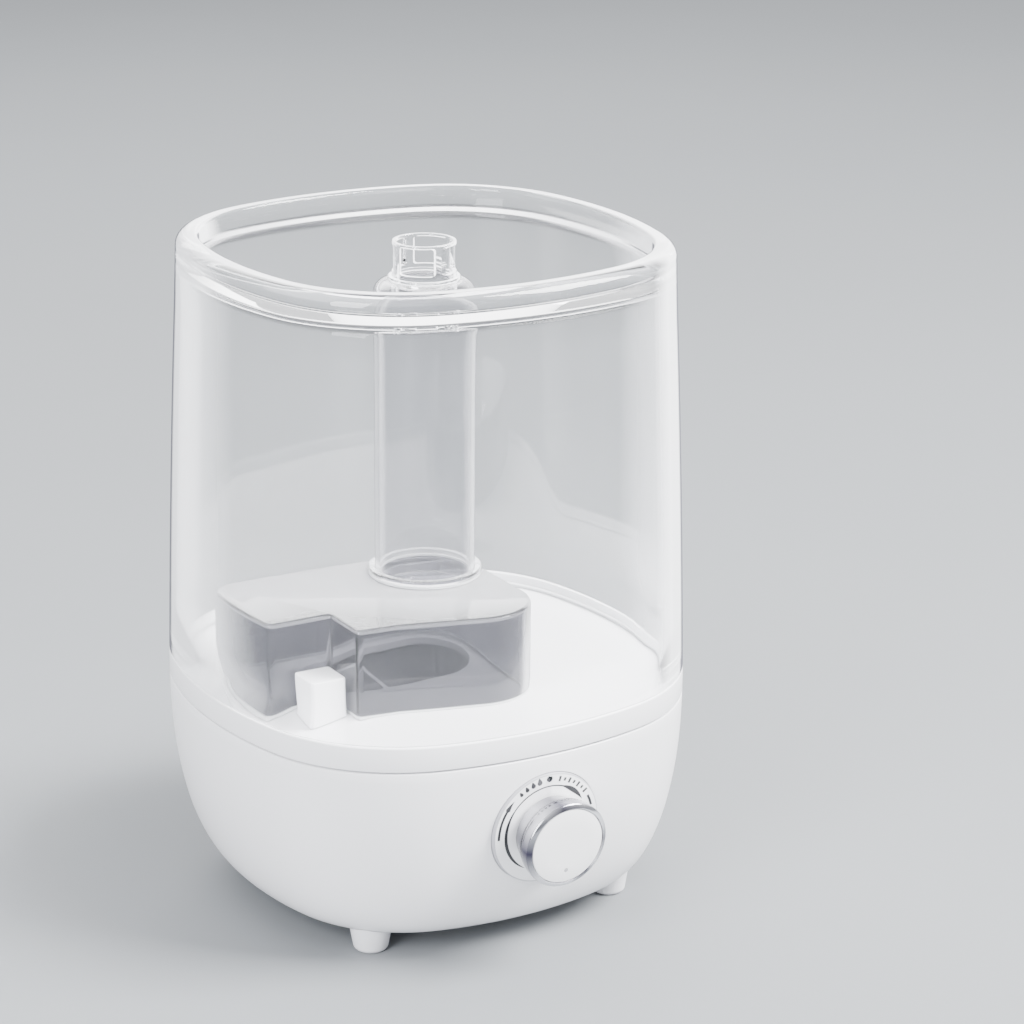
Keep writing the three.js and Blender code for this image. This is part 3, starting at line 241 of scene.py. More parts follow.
def combine(bm, operation, others):
    target = as_object("work", bm)
    tools = [as_object("tool", other) for other in others]
    for tool in tools:
        modifier = target.modifiers.new("combine", "BOOLEAN")
        modifier.operation = operation
        modifier.solver = "EXACT"
        modifier.object = tool
    evaluated = target.evaluated_get(bpy.context.evaluated_depsgraph_get())
    result = bmesh.new()
    result.from_mesh(evaluated.to_mesh())
    evaluated.to_mesh_clear()
    for thing in [target, *tools]:
        mesh = thing.data
        bpy.data.objects.remove(thing)
        bpy.data.meshes.remove(mesh)
    bmesh.ops.remove_doubles(result, verts=result.verts, dist=1e-7)
    return result


def cut(bm, *tools):
    return combine(bm, "DIFFERENCE", tools)


def joined(bm, *others):
    return combine(bm, "UNION", others)


def bar(radius, bottom, top, x=0, y=0, steps=48):
    return moved(spun([(0, bottom), (radius, bottom), (radius, top), (0, top)], steps), x, y, 0)


# %% [markdown]
# A finished piece gets smooth shading, with a crisp edge only where two faces meet at more
# than thirty degrees. It also gets its finish and the body that it moves with, and the frame
# parts that it replaces are hidden.

# %% Finish a piece
SHARP_ANGLE = radians(30)
made_faces = {}


def piece(name, bm, finish, body, slot, *replaced):
    for face in bm.faces:
        face.smooth = True
    for edge in bm.edges:
        edge.smooth = len(edge.link_faces) != 2 or edge.calc_face_angle(0) < SHARP_ANGLE
    made_faces[name] = len(bm.faces)
    made = as_object(name, bm)
    made.data.materials.append(finish)
    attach(made, body)
    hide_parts(*replaced)
    print(f"{name}: {made_faces[name]} faces")
    return made


# %% [markdown]
# Finishes are built from nodes. Node maths reads badly as a list of links, so one small class
# wraps a socket and turns +, -, * and / into Math nodes. A second class holds a material and
# adds any other node in one call.

# %% Shader maths
class Signal:
    """The output of a node. Arithmetic on it adds Math nodes."""

    def __init__(self, recipe, socket):
        self.recipe = recipe
        self.socket = socket

    def math(self, operation, first, second):
        return self.recipe.add("ShaderNodeMath", {"operation": operation}, {0: first, 1: second})

    def __add__(self, other):
        return self.math("ADD", self, other)

    def __sub__(self, other):
        return self.math("SUBTRACT", self, other)

    def __mul__(self, other):
        return self.math("MULTIPLY", self, other)

    def __truediv__(self, other):
        return self.math("DIVIDE", self, other)

    def __rsub__(self, other):
        return self.math("SUBTRACT", other, self)

    __radd__ = __add__
    __rmul__ = __mul__


class Recipe:
    """One material: a Principled shader and the nodes that vary it."""

    def __init__(self, name, colour, roughness, **constants):
        self.material = bpy.data.materials.new(name)
        self.material.use_nodes = True
        self.nodes = self.material.node_tree.nodes
        self.links = self.material.node_tree.links
        self.shader = self.nodes["Principled BSDF"]
        self.colour = colour
        self.roughness = roughness
        self.shader.inputs["Base Color"].default_value = (*colour, 1)
        self.shader.inputs["Roughness"].default_value = roughness
        for socket, value in constants.items():
            self.shader.inputs[socket.replace("_", " ")].default_value = value
        self.look = self.shader.outputs[0]
        self.place = self.add("ShaderNodeTexCoord", {}, {}, "Object")

    def add(self, kind, settings, inputs, output=0):
        node = self.nodes.new(kind)
        for name, value in settings.items():
            if name == "stops":
                self.set_stops(node.color_ramp, value)
            else:
                setattr(node, name, value)
        for name, value in inputs.items():
            self.feed(node.inputs[name], value)
        return Signal(self, node.outputs[output])

    def set_stops(self, ramp, stops):
        ramp.elements[0].position = stops[0][0]
        ramp.elements[1].position = stops[-1][0]
        for position, grey in stops[1:-1]:
            ramp.elements.new(position)
        for element, (position, grey) in zip(ramp.elements, stops):
            element.color = (grey, grey, grey, 1)

    def feed(self, socket, value):
        if isinstance(value, Signal):
            self.links.new(value.socket, socket)
        else:
            socket.default_value = value

    def noise(self, scale, detail=2.0, stretch=(1, 1, 1)):
        spot = self.add("ShaderNodeMapping", {}, {"Vector": self.place, "Scale": stretch})
        return self.add("ShaderNodeTexNoise", {}, {"Vector": spot, "Scale": scale, "Detail": detail})

    def tint(self, amount, other):
        """Base Color, mixed towards another colour by a signal."""
        node = self.nodes.new("ShaderNodeMix")
        node.data_type = "RGBA"
        self.feed(node.inputs[0], amount)
        node.inputs[6].default_value = (*self.colour, 1)
        node.inputs[7].default_value = (*other, 1)
        self.links.new(node.outputs[2], self.shader.inputs["Base Color"])
        return self

    def polish(self, signal, spread):
        """Roughness, varied about its middle value by a signal from 0 to 1."""
        self.feed(self.shader.inputs["Roughness"], (signal - 0.5) * spread + self.roughness)
        return self

    def relief(self, signal, depth):
        """Bump of a real depth in metres."""
        bump = self.add("ShaderNodeBump", {}, {"Height": signal, "Distance": depth, "Strength": 1.0},
                        "Normal")
        self.feed(self.shader.inputs["Normal"], bump)
        return self

    def ramp(self, signal, stops):
        """A signal reshaped by (position, value) stops."""
        return self.add("ShaderNodeValToRGB", {"stops": stops}, {0: signal})

    def blend(self, share, kind, colour):
        """Mixes in a second, plain shader by a signal."""
        second = self.nodes.new(kind)
        second.inputs["Color"].default_value = (*colour, 1)
        mix = self.nodes.new("ShaderNodeMixShader")
        self.feed(mix.inputs[0], share)
        self.links.new(self.look, mix.inputs[1])
        self.links.new(second.outputs[0], mix.inputs[2])
        self.links.new(mix.outputs[0], self.nodes["Material Output"].inputs["Surface"])
        self.look = mix.outputs[0]
        return self

    def edges(self, milk, outline):
        """Clear walls turn milky where they are seen edge on; along their very outline a dark diffuse line is
        painted shade.
        """
        facing = self.add("ShaderNodeLayerWeight", {}, {"Blend": 0.5}, "Facing")
        milky = self.ramp(facing, [(0.48, 0), (0.66, milk), (0.84, milk), (0.89, 0)])
        self.blend(milky, "ShaderNodeBsdfDiffuse", (0.95, 0.955, 0.97))
        # Painted shade: a near-black diffuse is mixed in where a face is seen almost edge on, standing for the
        # dark edge that refraction gives.
        dark = self.ramp(facing, [(0.85, 0), (0.90, outline)])
        return self.blend(dark, "ShaderNodeBsdfDiffuse", (0.10, 0.10, 0.12))

    def passes_lamps(self, share):
        """Clear plastic lets lamplight through to what is behind it."""
        shadow = self.add("ShaderNodeLightPath", {}, {}, "Is Shadow Ray")
        return self.blend(shadow, "ShaderNodeBsdfTransparent", (share, share, share))


# %% [markdown]
# Moulded plastic copies the skin of its steel mould. On the white casing that skin is a fine
# satin spark-eroded grain, a few hundredths of a millimetre high. On top of it come slow, very
# faint changes of tone where the wall thickness changes, and slightly shinier patches where
# hands have polished it. The same recipe makes all the opaque plastics with other numbers.

# %% Moulded plastics
def moulded(name, colour, roughness, shade, grain=1500, depth=0.012 * MM, coat=0.0):
    recipe = Recipe(name, colour, roughness, Coat_Weight=coat, Coat_Roughness=0.12, IOR=1.5)
    slow = recipe.noise(9, 3)
    fine = recipe.noise(grain, 2)
    speck = recipe.noise(420, 4)
    recipe.tint(slow * 0.7 + speck * 0.3, shade)
    recipe.polish(recipe.noise(26, 4) * 0.7 + fine * 0.3, 0.16)
    return recipe.relief(fine + speck * 0.5, depth).material


WHITE = moulded("satin white plastic", (0.83, 0.83, 0.845), 0.34, (0.78, 0.78, 0.80), coat=0.15)
WHITE_INNER = moulded("matte white plastic", (0.76, 0.76, 0.775), 0.48, (0.70, 0.70, 0.72))
WHITE_FOOT = moulded("foot plastic", (0.74, 0.74, 0.76), 0.42, (0.68, 0.68, 0.70), grain=2200)
FACE_WHITE = moulded("knob face plastic", (0.86, 0.86, 0.865), 0.38, (0.83, 0.83, 0.84), grain=2600)
DARK = moulded("dark plastic", (0.035, 0.036, 0.040), 0.5, (0.055, 0.056, 0.060), depth=0.02 * MM)
SILICONE = moulded("silicone rubber", (0.62, 0.63, 0.64), 0.62, (0.54, 0.55, 0.56), grain=900)
INK = moulded("printed ink", (0.012, 0.012, 0.014), 0.42, (0.03, 0.03, 0.034), grain=3000)
GREY_SPOT = moulded("pointer spot plastic", (0.42, 0.42, 0.44), 0.4, (0.36, 0.36, 0.38))

# %% [markdown]
# The tank is clear styrene plastic. Its walls bend light as glass does, with a little haze,
# faint flow waves from the mould and fine wiping scratches. Seen edge on, such a wall scatters
# light along its length: it turns milky. Towards the edges its colour is darkened, and a thin dark
# line is laid along its very outline; both are painted shade, standing for the dark edges that
# refraction gives. Layer Weight tells how edge on a face is. The tube is the same plastic with a
# faint smoky tint, and the mist chamber is a good deal darker.

# %% Clear plastics
def clear(name, colour, haze, share, milk, outline, painted_edge_shade=0.5):
    """share is the lamplight that passes, milk is the strength of the milky edges and outline that of the painted
    dark line along the outline.
    """
    recipe = Recipe(name, colour, haze, Transmission_Weight=1.0, IOR=1.5)
    flow = recipe.noise(14, 2, (1, 1, 0.35))
    scratch = recipe.noise(240, 5, (1, 1, 0.08))
    recipe.polish(scratch * 0.6 + flow * 0.4, haze)
    facing = recipe.add("ShaderNodeLayerWeight", {}, {"Blend": 0.5}, "Facing")
    # Painted shade: the base colour darkens where the wall is seen edge on, with a little of the flow tone mixed
    # in.
    painted_slant_shade = recipe.ramp(facing, [(0.75, 0), (0.97, 1)])
    recipe.tint(painted_slant_shade * 0.9 + flow * 0.1, [painted_edge_shade * channel for channel in colour])
    recipe.relief(flow + scratch * 0.02, 0.02 * MM)
    return recipe.edges(milk, outline).passes_lamps(share).material


CLEAR = clear("clear tank plastic", (0.985, 0.988, 0.992), 0.015, 0.93, 0.7, 0.85)
TUBE_CLEAR = clear("faintly smoky plastic", (0.90, 0.90, 0.915), 0.03, 0.86, 0.2, 0.7, 0.2)
SMOKE = clear("smoky plastic", (0.20, 0.20, 0.225), 0.04, 0.5, 0.25, 0.8, 0.3)
LENS = clear("lens plastic", (0.30, 0.33, 0.40), 0.06, 0.5, 0.0, 0.0)

# %% [markdown]
# The metals inside are rolled or plated sheet, with soft clouds and short streaks.

# %% Metals
def metal(name, colour, roughness, shade, stretch=(1, 1, 1), scale=600, depth=0.004 * MM):
    recipe = Recipe(name, colour, roughness, Metallic=1.0)
    streak = recipe.noise(scale, 3, stretch)
    cloud = recipe.noise(60, 3)
    recipe.tint(cloud * 0.6 + streak * 0.4, shade)
    recipe.polish(streak * 0.5 + cloud * 0.5, 0.12)
    return recipe.relief(streak, depth).material


STEEL = metal("plated steel", (0.60, 0.61, 0.62), 0.3, (0.50, 0.51, 0.53))
ALUMINIUM = metal("cast aluminium", (0.66, 0.67, 0.68), 0.38, (0.56, 0.57, 0.58), scale=350,
                  depth=0.01 * MM)
COPPER = metal("enamelled copper wire", (0.62, 0.27, 0.12), 0.28, (0.48, 0.19, 0.08), scale=900)

# %% [markdown]
# A circuit board is glass cloth under green lacquer. Its copper tracks lift the lacquer, so a
# grid of tracks shows as a lighter green with a raised edge.

# %% Circuit board
def board_finish():
    recipe = Recipe("green circuit board", (0.012, 0.14, 0.06), 0.35, Coat_Weight=0.4)
    tracks = recipe.add("ShaderNodeTexBrick", {}, {
        "Vector": recipe.place, "Scale": 90.0, "Mortar Size": 0.04, "Color1": (0, 0, 0, 1),
        "Color2": (0, 0, 0, 1), "Mortar": (1, 1, 1, 1)})
    recipe.tint(tracks, (0.03, 0.30, 0.13))
    recipe.polish(recipe.noise(300, 3), 0.2)
    return recipe.relief(tracks, 0.03 * MM).material


BOARD = board_finish()

# %% [markdown]
# The knob is spun and then chromed. A spun surface shows light and dark wedges round its axis,
# as the bottom of a pan does, because its streaks reflect the room. Here the wedges are painted
# reflection in the base colour: a radial gradient, set on the dial's axis, gives the angle, and a
# ramp of (angle, darkness) stops turns it into wedges. The dark ones are painted in the violet
# grey of chrome reflecting a dim room.

# %% Chrome
KNOB_JOINT = next(joint for joint in frame["joints"] if joint["name"] == "knob_turn")
DIAL_OUT = -Vector(KNOB_JOINT["axis"]).normalized()
DIAL_UP = DIAL_OUT.cross(Vector((1, 0, 0)))
DIAL = Matrix.Translation(KNOB_JOINT["pos_m"]) @ Matrix(
    ((1, DIAL_UP.x, DIAL_OUT.x), (0, DIAL_UP.y, DIAL_OUT.y), (0, DIAL_UP.z, DIAL_OUT.z))).to_4x4()
# Painted reflection: (angle round the knob's axis, darkness) stops for the chrome's base colour.
PAINTED_REFLECTION_WEDGES = ((0.0, 1.0), (0.06, 0.55), (0.12, 0.0), (0.28, 0.0), (0.31, 0.6), (0.35, 0.85), (0.40, 0.0),
          (0.45, 0.35), (0.50, 0.7), (0.56, 0.0), (0.67, 0.0), (0.72, 0.55), (0.78, 0.9), (0.85, 0.3),
          (0.93, 0.5), (1.0, 1.0))


def dial_axis(recipe):
    """Coordinates on the dial, whose axis is Z."""
    to_dial = DIAL.inverted()
    return recipe.add("ShaderNodeMapping", {}, {
        "Vector": recipe.place, "Location": to_dial.to_translation(), "Rotation": to_dial.to_euler()})


def chrome_finish():
    recipe = Recipe("satin chrome", (0.86, 0.86, 0.89), 0.17, Metallic=1.0)
    on_axis = dial_axis(recipe)
    turn = recipe.add("ShaderNodeTexGradient", {"gradient_type": "RADIAL"}, {"Vector": on_axis})
    painted_reflection = recipe.ramp(turn, PAINTED_REFLECTION_WEDGES)
    rings = recipe.add("ShaderNodeTexWave", {"wave_type": "RINGS", "rings_direction": "Z"}, {
        "Vector": on_axis, "Scale": 900.0, "Distortion": 1.5, "Detail": 2.0})
    # The wedges darken the base colour: painted reflection, fixed to the knob.
    recipe.tint(painted_reflection, (0.06, 0.055, 0.09))
    recipe.polish(recipe.noise(400, 3) * 0.6 + rings * 0.4, 0.10)
    return recipe.relief(rings, 0.0006 * MM).material


CHROME = chrome_finish()
print(len(bpy.data.materials), "finishes")

# %% [markdown]
# The set is a plain pale floor under soft studio light. One large soft lamp stands high on the
# right, a weaker one fills the left, and a third from behind gives the clear walls a bright
# band. The room is bright overhead and dimmer at eye level, which chrome and clear plastic
# need. The camera looks down on the left front corner with a long lens, so upright lines stay
# nearly parallel.

# %% Camera, floor and light
CAMERA_LENS_MM = 113.9
CAMERA_DISTANCE = 1.3218
CAMERA_HEIGHT = 0.60025
CAMERA_TURN = radians(29.41)
CAMERA_DIP = radians(18.1)
CAMERA_SHIFT = (0.0858, -0.0032)
ROOM_STOPS = ((0.1, (0.20, 0.205, 0.23)), (0.5, (0.97, 0.98, 1.0)))
ROOM_STRENGTH = 1.7


def add_camera():
    data = bpy.data.cameras.new("camera")
    data.lens = CAMERA_LENS_MM
    data.sensor_width = 36
    data.shift_x, data.shift_y = CAMERA_SHIFT
    camera = bpy.data.objects.new("camera", data)
    camera.location = (-CAMERA_DISTANCE * sin(CAMERA_TURN),
                       AXIS_Y - CAMERA_DISTANCE * cos(CAMERA_TURN), CAMERA_HEIGHT)
    look = Vector((sin(CAMERA_TURN) * cos(CAMERA_DIP), cos(CAMERA_TURN) * cos(CAMERA_DIP),
                   -sin(CAMERA_DIP)))
    camera.rotation_euler = look.to_track_quat("-Z", "Y").to_euler()
    bpy.context.scene.collection.objects.link(camera)
    bpy.context.scene.camera = camera


def add_lamp(name, place, target, size, watts, colour=(1, 1, 1)):
    data = bpy.data.lights.new(name, "AREA")
    data.shape = "RECTANGLE"
    data.size, data.size_y = size
    data.energy = watts
    data.color = colour
    lamp = bpy.data.objects.new(name, data)
    lamp.location = place
    lamp.rotation_euler = (Vector(target) - Vector(place)).to_track_quat("-Z", "Y").to_euler()
    bpy.context.scene.collection.objects.link(lamp)


def add_floor():
    bm = bmesh.new()
    bmesh.ops.create_grid(bm, x_segments=1, y_segments=1, size=12)
    floor = as_object("floor", bm)
    recipe = Recipe("pale floor", (0.18, 0.19, 0.20), 0.7)
    recipe.tint(recipe.noise(3, 3), (0.195, 0.205, 0.215))
    recipe.relief(recipe.noise(900, 2), 0.01 * MM)
    floor.data.materials.append(recipe.material)


def add_room():
    """Light from all round, by height."""
    world = bpy.data.worlds.new("studio")
    world.use_nodes = True
    nodes, links = world.node_tree.nodes, world.node_tree.links
    direction = nodes.new("ShaderNodeTexCoord")
    split = nodes.new("ShaderNodeSeparateXYZ")
    height = nodes.new("ShaderNodeValToRGB")
    links.new(direction.outputs["Generated"], split.inputs[0])
    links.new(split.outputs["Z"], height.inputs[0])
    for element, (position, colour) in zip(height.color_ramp.elements, ROOM_STOPS):
        element.position = position
        element.color = (*colour, 1)
    links.new(height.outputs[0], nodes["Background"].inputs["Color"])
    nodes["Background"].inputs["Strength"].default_value = ROOM_STRENGTH
    bpy.context.scene.world = world


add_camera()
add_floor()
add_lamp("key lamp", (1.1, -0.9, 1.5), (0, 0, 0.12), (1.0, 1.0), 230)
add_lamp("fill lamp", (-1.6, -0.8, 0.9), (0, 0, 0.12), (0.8, 1.4), 80, (0.96, 0.97, 1))
add_lamp("back lamp", (0.4, 1.8, 1.3), (0, 0, 0.2), (2.0, 0.9), 40)
add_room()
print("camera, floor, three lamps and the room")

# %% [markdown]
# The base shell is one injection moulding: a bowl whose wall follows a quarter ellipse from
# the seam down to the flat underside. A subdivided cube could be sculpted into it, but the
# curve would be a guess. Here the quarter ellipse is a formula, it is spun round the axis, and
# then pushed out to the outline. The dial's pocket and the socket's hole are cut last.

# %% Base shell
WALL = 2.6 * MM
BOWL_STEPS = 26
COVER_HALF = UNDERSIDE_HALF - 14 * MM
LIP_WIDTH = 6 * MM
COVER_TOP_Z = UNDERSIDE_Z + 2.8 * MM
LEDGE_Z = SEAM_Z - 5.5 * MM
LEDGE_WIDTH = 5 * MM
LEDGE_THICK = 3 * MM


def bowl_half(z):
    rise = (SEAM_Z - z) / (SEAM_Z - UNDERSIDE_Z)
    return UNDERSIDE_HALF + (HALF - UNDERSIDE_HALF) * sqrt(max(0, 1 - rise**2))


def bowl_curve(inset, bottom, end_z):
    """The wall's profile from the seam down, at some depth inside the outer face."""
    points = []
    for i in range(BOWL_STEPS + 1):
        turn = pi / 2 * i / BOWL_STEPS
        z = SEAM_Z - (SEAM_Z - bottom) * sin(turn)
        half = UNDERSIDE_HALF - inset + (HALF - UNDERSIDE_HALF) * cos(turn)
        if z <= end_z:
            points.append((half, z))
    return points


PLATE_RADIUS = (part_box("dial_plate")[1].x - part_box("dial_plate")[0].x) / 2
PLATE_THICK = 3 * MM
LENS_PLACE = PLATE_RADIUS - 2.4 * MM
LENS_RADIUS = 1.3 * MM


def on_dial(bm):
    """Dial pieces are made flat, facing up, and then leaned against the front wall."""
    bmesh.ops.transform(bm, matrix=DIAL, verts=bm.verts)
    return bm


INLET_LOW, INLET_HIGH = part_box("power_inlet")
INLET_RADIUS = (INLET_HIGH.x - INLET_LOW.x) / 2
INLET_Z = (INLET_HIGH.z + INLET_LOW.z) / 2
INLET_WALL_Y = AXIS_Y + bowl_half(INLET_Z)


def at_inlet(bm):
    """Socket pieces are made facing up, and then turned to face the rear."""
    return moved(turned(bm, -90, "X"), 0, INLET_WALL_Y, INLET_Z)


def base_shell():
    inner_bottom = UNDERSIDE_Z + WALL + GAP
    outer = bowl_curve(0, UNDERSIDE_Z, SEAM_Z)
    inner = bowl_curve(WALL, inner_bottom, LEDGE_Z - LEDGE_THICK - LEDGE_WIDTH)
    rebate = COVER_HALF + GAP
    lip_z = COVER_TOP_Z + GAP
    profile = [
        *outer, (rebate, UNDERSIDE_Z), (rebate, lip_z), (rebate - LIP_WIDTH, lip_z),
        (rebate - LIP_WIDTH, lip_z + WALL), (rebate + WALL, lip_z + WALL),
        *reversed(inner), (HALF - WALL - LEDGE_WIDTH, LEDGE_Z - LEDGE_THICK),
        (HALF - WALL - LEDGE_WIDTH, LEDGE_Z), (HALF - WALL, LEDGE_Z), (HALF - WALL, SEAM_Z)]
    underside_corner = len(outer) - 1
    shell = outlined(profile, [(0, 0.5 * MM, 3), (underside_corner, 1.2 * MM, 3)])
    backing = on_dial(bar(PLATE_RADIUS + 1.5 * MM, -7 * MM, -PLATE_THICK - GAP, steps=96))
    shell = joined(shell, backing)
    return cut(
        shell,
        on_dial(bar(PLATE_RADIUS + GAP, -PLATE_THICK - GAP, 12 * MM, steps=128)),
        on_dial(bar(3.9 * MM, -20 * MM, 1 * MM)),
        on_dial(bar(LENS_RADIUS + GAP, -20 * MM, 1 * MM, 0, LENS_PLACE)),
        at_inlet(bar(INLET_RADIUS + GAP, -4 * MM, 12 * MM)),
        at_inlet(bar(INLET_RADIUS - 1.6 * MM, -20 * MM, 0)))


piece("shell_smooth", base_shell(), WHITE, "base", "white_shell", "base_shell")

# %% [markdown]
# Four short cups hold the base off the table. Each is a tapered stub with a rounded tip. Its
# upper rim follows the bowl's curved underside, so after spinning, every upper vertex is set to
# the height of the bowl above it.

# %% Feet
def under_bowl(x, y):
    """Height of the bowl's outer face over a point of the floor."""
    half = hypot(x, y - AXIS_Y) / outline_factor(atan2(y - AXIS_Y, x))
    if half <= UNDERSIDE_HALF:
        return UNDERSIDE_Z
    share = (half - UNDERSIDE_HALF) / (HALF - UNDERSIDE_HALF)
    return SEAM_Z - (SEAM_Z - UNDERSIDE_Z) * sqrt(1 - share**2)


def foot(node):
    low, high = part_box(node)
    x, y = (low.x + high.x) / 2, (low.y + high.y) / 2
    wide = (high.x - low.x) / 2
    top = UNDERSIDE_Z + 4 * MM
    tip = 7.4 * MM
    bm = spun([(0, 0), (tip - 1.2 * MM, 0), (tip, 1.2 * MM), (wide, top), (0, top)], 64,
              [(1, 0.5 * MM, 3), (2, 0.6 * MM, 3)])
    moved(bm, x, y, 0)
    for vertex in bm.verts:
        vertex.co.z = min(vertex.co.z, under_bowl(vertex.co.x, vertex.co.y) - 0.2 * MM)
    return bm


for corner in ("front_left", "front_right", "rear_left", "rear_right"):
    piece(f"foot_cup_{corner}", foot(f"foot_{corner}"), WHITE_FOOT, "base", "foot", f"foot_{corner}")

# %% [markdown]
# The dial plate is a flat disc let into the curved wall. The wall curves away from it, so the
# disc's edge stands out at the bottom and sinks in at the top. A grey band round its rim is
# painted shade, standing for the shadow on the disc's edge. Its marks are printed in thick black
# ink: a stroke that swells and thins round the knob, an arrow for more mist, rows of drops and
# ticks, and a short end mark. Each stroke is one short edge, spun part of the way round and then
# set to its width at every angle.

# %% Dial plate and its marks
INK_RISE = 0.06 * MM
NUT_HOLE = 6.4 * MM


def dial_plate():
    plate = spun([(NUT_HOLE, -PLATE_THICK), (PLATE_RADIUS, -PLATE_THICK), (PLATE_RADIUS, 0),
                  (NUT_HOLE, 0)], 128, [(2, 0.5 * MM, 3)])
    return on_dial(cut(plate, bar(LENS_RADIUS + GAP / 2, -9 * MM, 9 * MM, 0, LENS_PLACE)))


def plate_finish():
    """Satin white, with a grey band of painted shade round its rim."""
    recipe = Recipe("dial plate plastic", (0.83, 0.83, 0.845), 0.34, IOR=1.5)
    flat = recipe.add("ShaderNodeMapping", {}, {"Vector": dial_axis(recipe), "Scale": (1, 1, 0)})
    reach = recipe.add("ShaderNodeVectorMath", {"operation": "LENGTH"}, {0: flat}, "Value")
    # Painted shade: the outermost part of the disc turns grey by distance from the dial's axis, with a little
    # random tone mixed in.
    rim = recipe.ramp(reach / PLATE_RADIUS, [(0.972, 0), (0.985, 1)])
    recipe.tint(rim * 0.9 + recipe.noise(30, 3) * 0.1, (0.34, 0.34, 0.37))
    recipe.polish(recipe.noise(60, 4), 0.16)
    return recipe.relief(recipe.noise(1500, 2), 0.012 * MM).material


def stroke(radius, start, end, width_at):
    """An ink stroke from one angle to another, in degrees. width_at gives its width for a
    share of the way along it."""
    steps = max(6, round(abs(end - start) / 2))
    bm = bmesh.new()
    ends = [bm.verts.new((radius + side * MM, 0, 0)) for side in (-1, 1)]
    bm.edges.new(ends)
    turned(bm, start)
    bmesh.ops.spin(bm, geom=bm.verts[:] + bm.edges[:], cent=(0, 0, 0), axis=(0, 0, 1),
                   angle=radians(end - start), steps=steps)
    bmesh.ops.remove_doubles(bm, verts=bm.verts, dist=1e-8)
    for vertex in bm.verts:
        angle = degrees(atan2(vertex.co.y, vertex.co.x))
        away = (angle - start + 180) % 360 - 180
        if abs(end - start) > 180 and away * (end - start) < 0:
            away += 360 if end > start else -360
        share = min(1, max(0, away / (end - start)))
        side = 1 if vertex.co.xy.length > radius else -1
        reach = radius + side * width_at(share) / 2
        vertex.co.xy = vertex.co.xy.normalized() * reach
    return raised(bm, INK_RISE)


def drop(radius, angle, size):
    """A small drop whose point looks away from the knob."""
    bm = bmesh.new()
    bmesh.ops.create_circle(bm, cap_ends=True, segments=16, radius=size)
    for vertex in bm.verts:
        if vertex.co.x > 0:
            vertex.co.x *= 1.9
            vertex.co.y *= 1 - 0.5 * vertex.co.x / (1.9 * size)
    return raised(turned(moved(bm, radius, 0, 0), angle), INK_RISE)


def arrow_width(share):
    """A thin shaft that ends in a long pointed head."""
    return 1.2 * MM if share < 0.72 else 2.6 * MM * (1 - share) / 0.28 + 0.05 * MM


def ring_width(share):
    """Thick at the lower left, thin over the top, thick again before its end."""
    lower = 1.5 * MM * max(0, sin(pi * min(1, share / 0.5))) ** 0.7
    upper = 2.1 * MM * max(0, sin(pi * min(1, max(0, share - 0.80) / 0.20)))
    thin = 0.62 * MM * min(1, 12 * share, 12 * (1 - share))
    return max(lower, upper, thin, 0.06 * MM)


MARKS = {
    "ring_mark": stroke(19.3 * MM, 242, 31, ring_width),
    "arrow_mark": stroke(22.7 * MM, 183, 136, arrow_width),
    "end_mark": stroke(22.2 * MM, 30, 16, lambda share: 1.1 * MM),
}
for number, angle in enumerate((126, 118, 110, 102)):
    MARKS[f"drop_mark_{number + 1}"] = drop(22.2 * MM, angle, (0.85 + 0.12 * number) * MM)
for number, angle in enumerate((77, 70.5, 64, 57.5, 51, 44.5, 38)):
    long_tick = number % 2 == 0
    tick = (lambda share: 2.4 * MM) if long_tick else (lambda share: 1.5 * MM)
    MARKS[f"tick_mark_{number + 1}"] = stroke(22.4 * MM, angle + 1.3, angle - 1.3, tick)

piece("dial_disc", dial_plate(), plate_finish(), "base", "white_shell", "dial_plate")
for name, bm in MARKS.items():
    piece(name, on_dial(moved(bm, 0, 0, -INK_RISE / 3)), INK, "base", "white_shell")

LENS_DEPTH = 6 * MM
lens = spun([(0, -LENS_DEPTH), (LENS_RADIUS, -LENS_DEPTH), (LENS_RADIUS, 0.2 * MM), (0, 0.35 * MM)],
            32, [(2, 0.15 * MM, 3)])
piece("indicator_window", on_dial(moved(lens, 0, LENS_PLACE, 0)), LENS, "base", "lens",
      "indicator_lens")

# %% [markdown]
# The knob is a flared skirt with a bright ring at its front, and a white face let into it. All
# three are turned shapes. What makes chrome look like chrome is a soft edge between its bands,
# so each corner of the skirt has its own small bevel.

# %% Knob
KNOB_HEIGHT = 17.2 * MM
KNOB_BACK = 15.3 * MM
KNOB_FRONT = 19.0 * MM
FACE_RADIUS = 16.6 * MM
POINTER_PLACE = 11.2 * MM
POINTER_RADIUS = 0.9 * MM


def knob_skirt():
    floor = KNOB_HEIGHT - 2 * MM
    seat = FACE_RADIUS + GAP
    clear_of_plate = 1.2 * MM
    profile = [
        (0, floor), (seat, floor), (seat, KNOB_HEIGHT), (seat + 0.4 * MM, KNOB_HEIGHT),
        (KNOB_FRONT, KNOB_HEIGHT - MM), (KNOB_FRONT, KNOB_HEIGHT - 5.2 * MM),
        (KNOB_BACK, clear_of_plate), (KNOB_BACK - 1.7 * MM, clear_of_plate),
        (KNOB_FRONT - 4.2 * MM, floor - 4.5 * MM), (KNOB_FRONT - 5 * MM, floor - 2 * MM),
        (0, floor - 2 * MM)]
    soften = [(2, 0.12 * MM, 2), (3, 0.15 * MM, 2), (4, 0.45 * MM, 4), (5, 1.6 * MM, 5),
              (6, 0.4 * MM, 3)]
    return spun(profile, 160, soften)


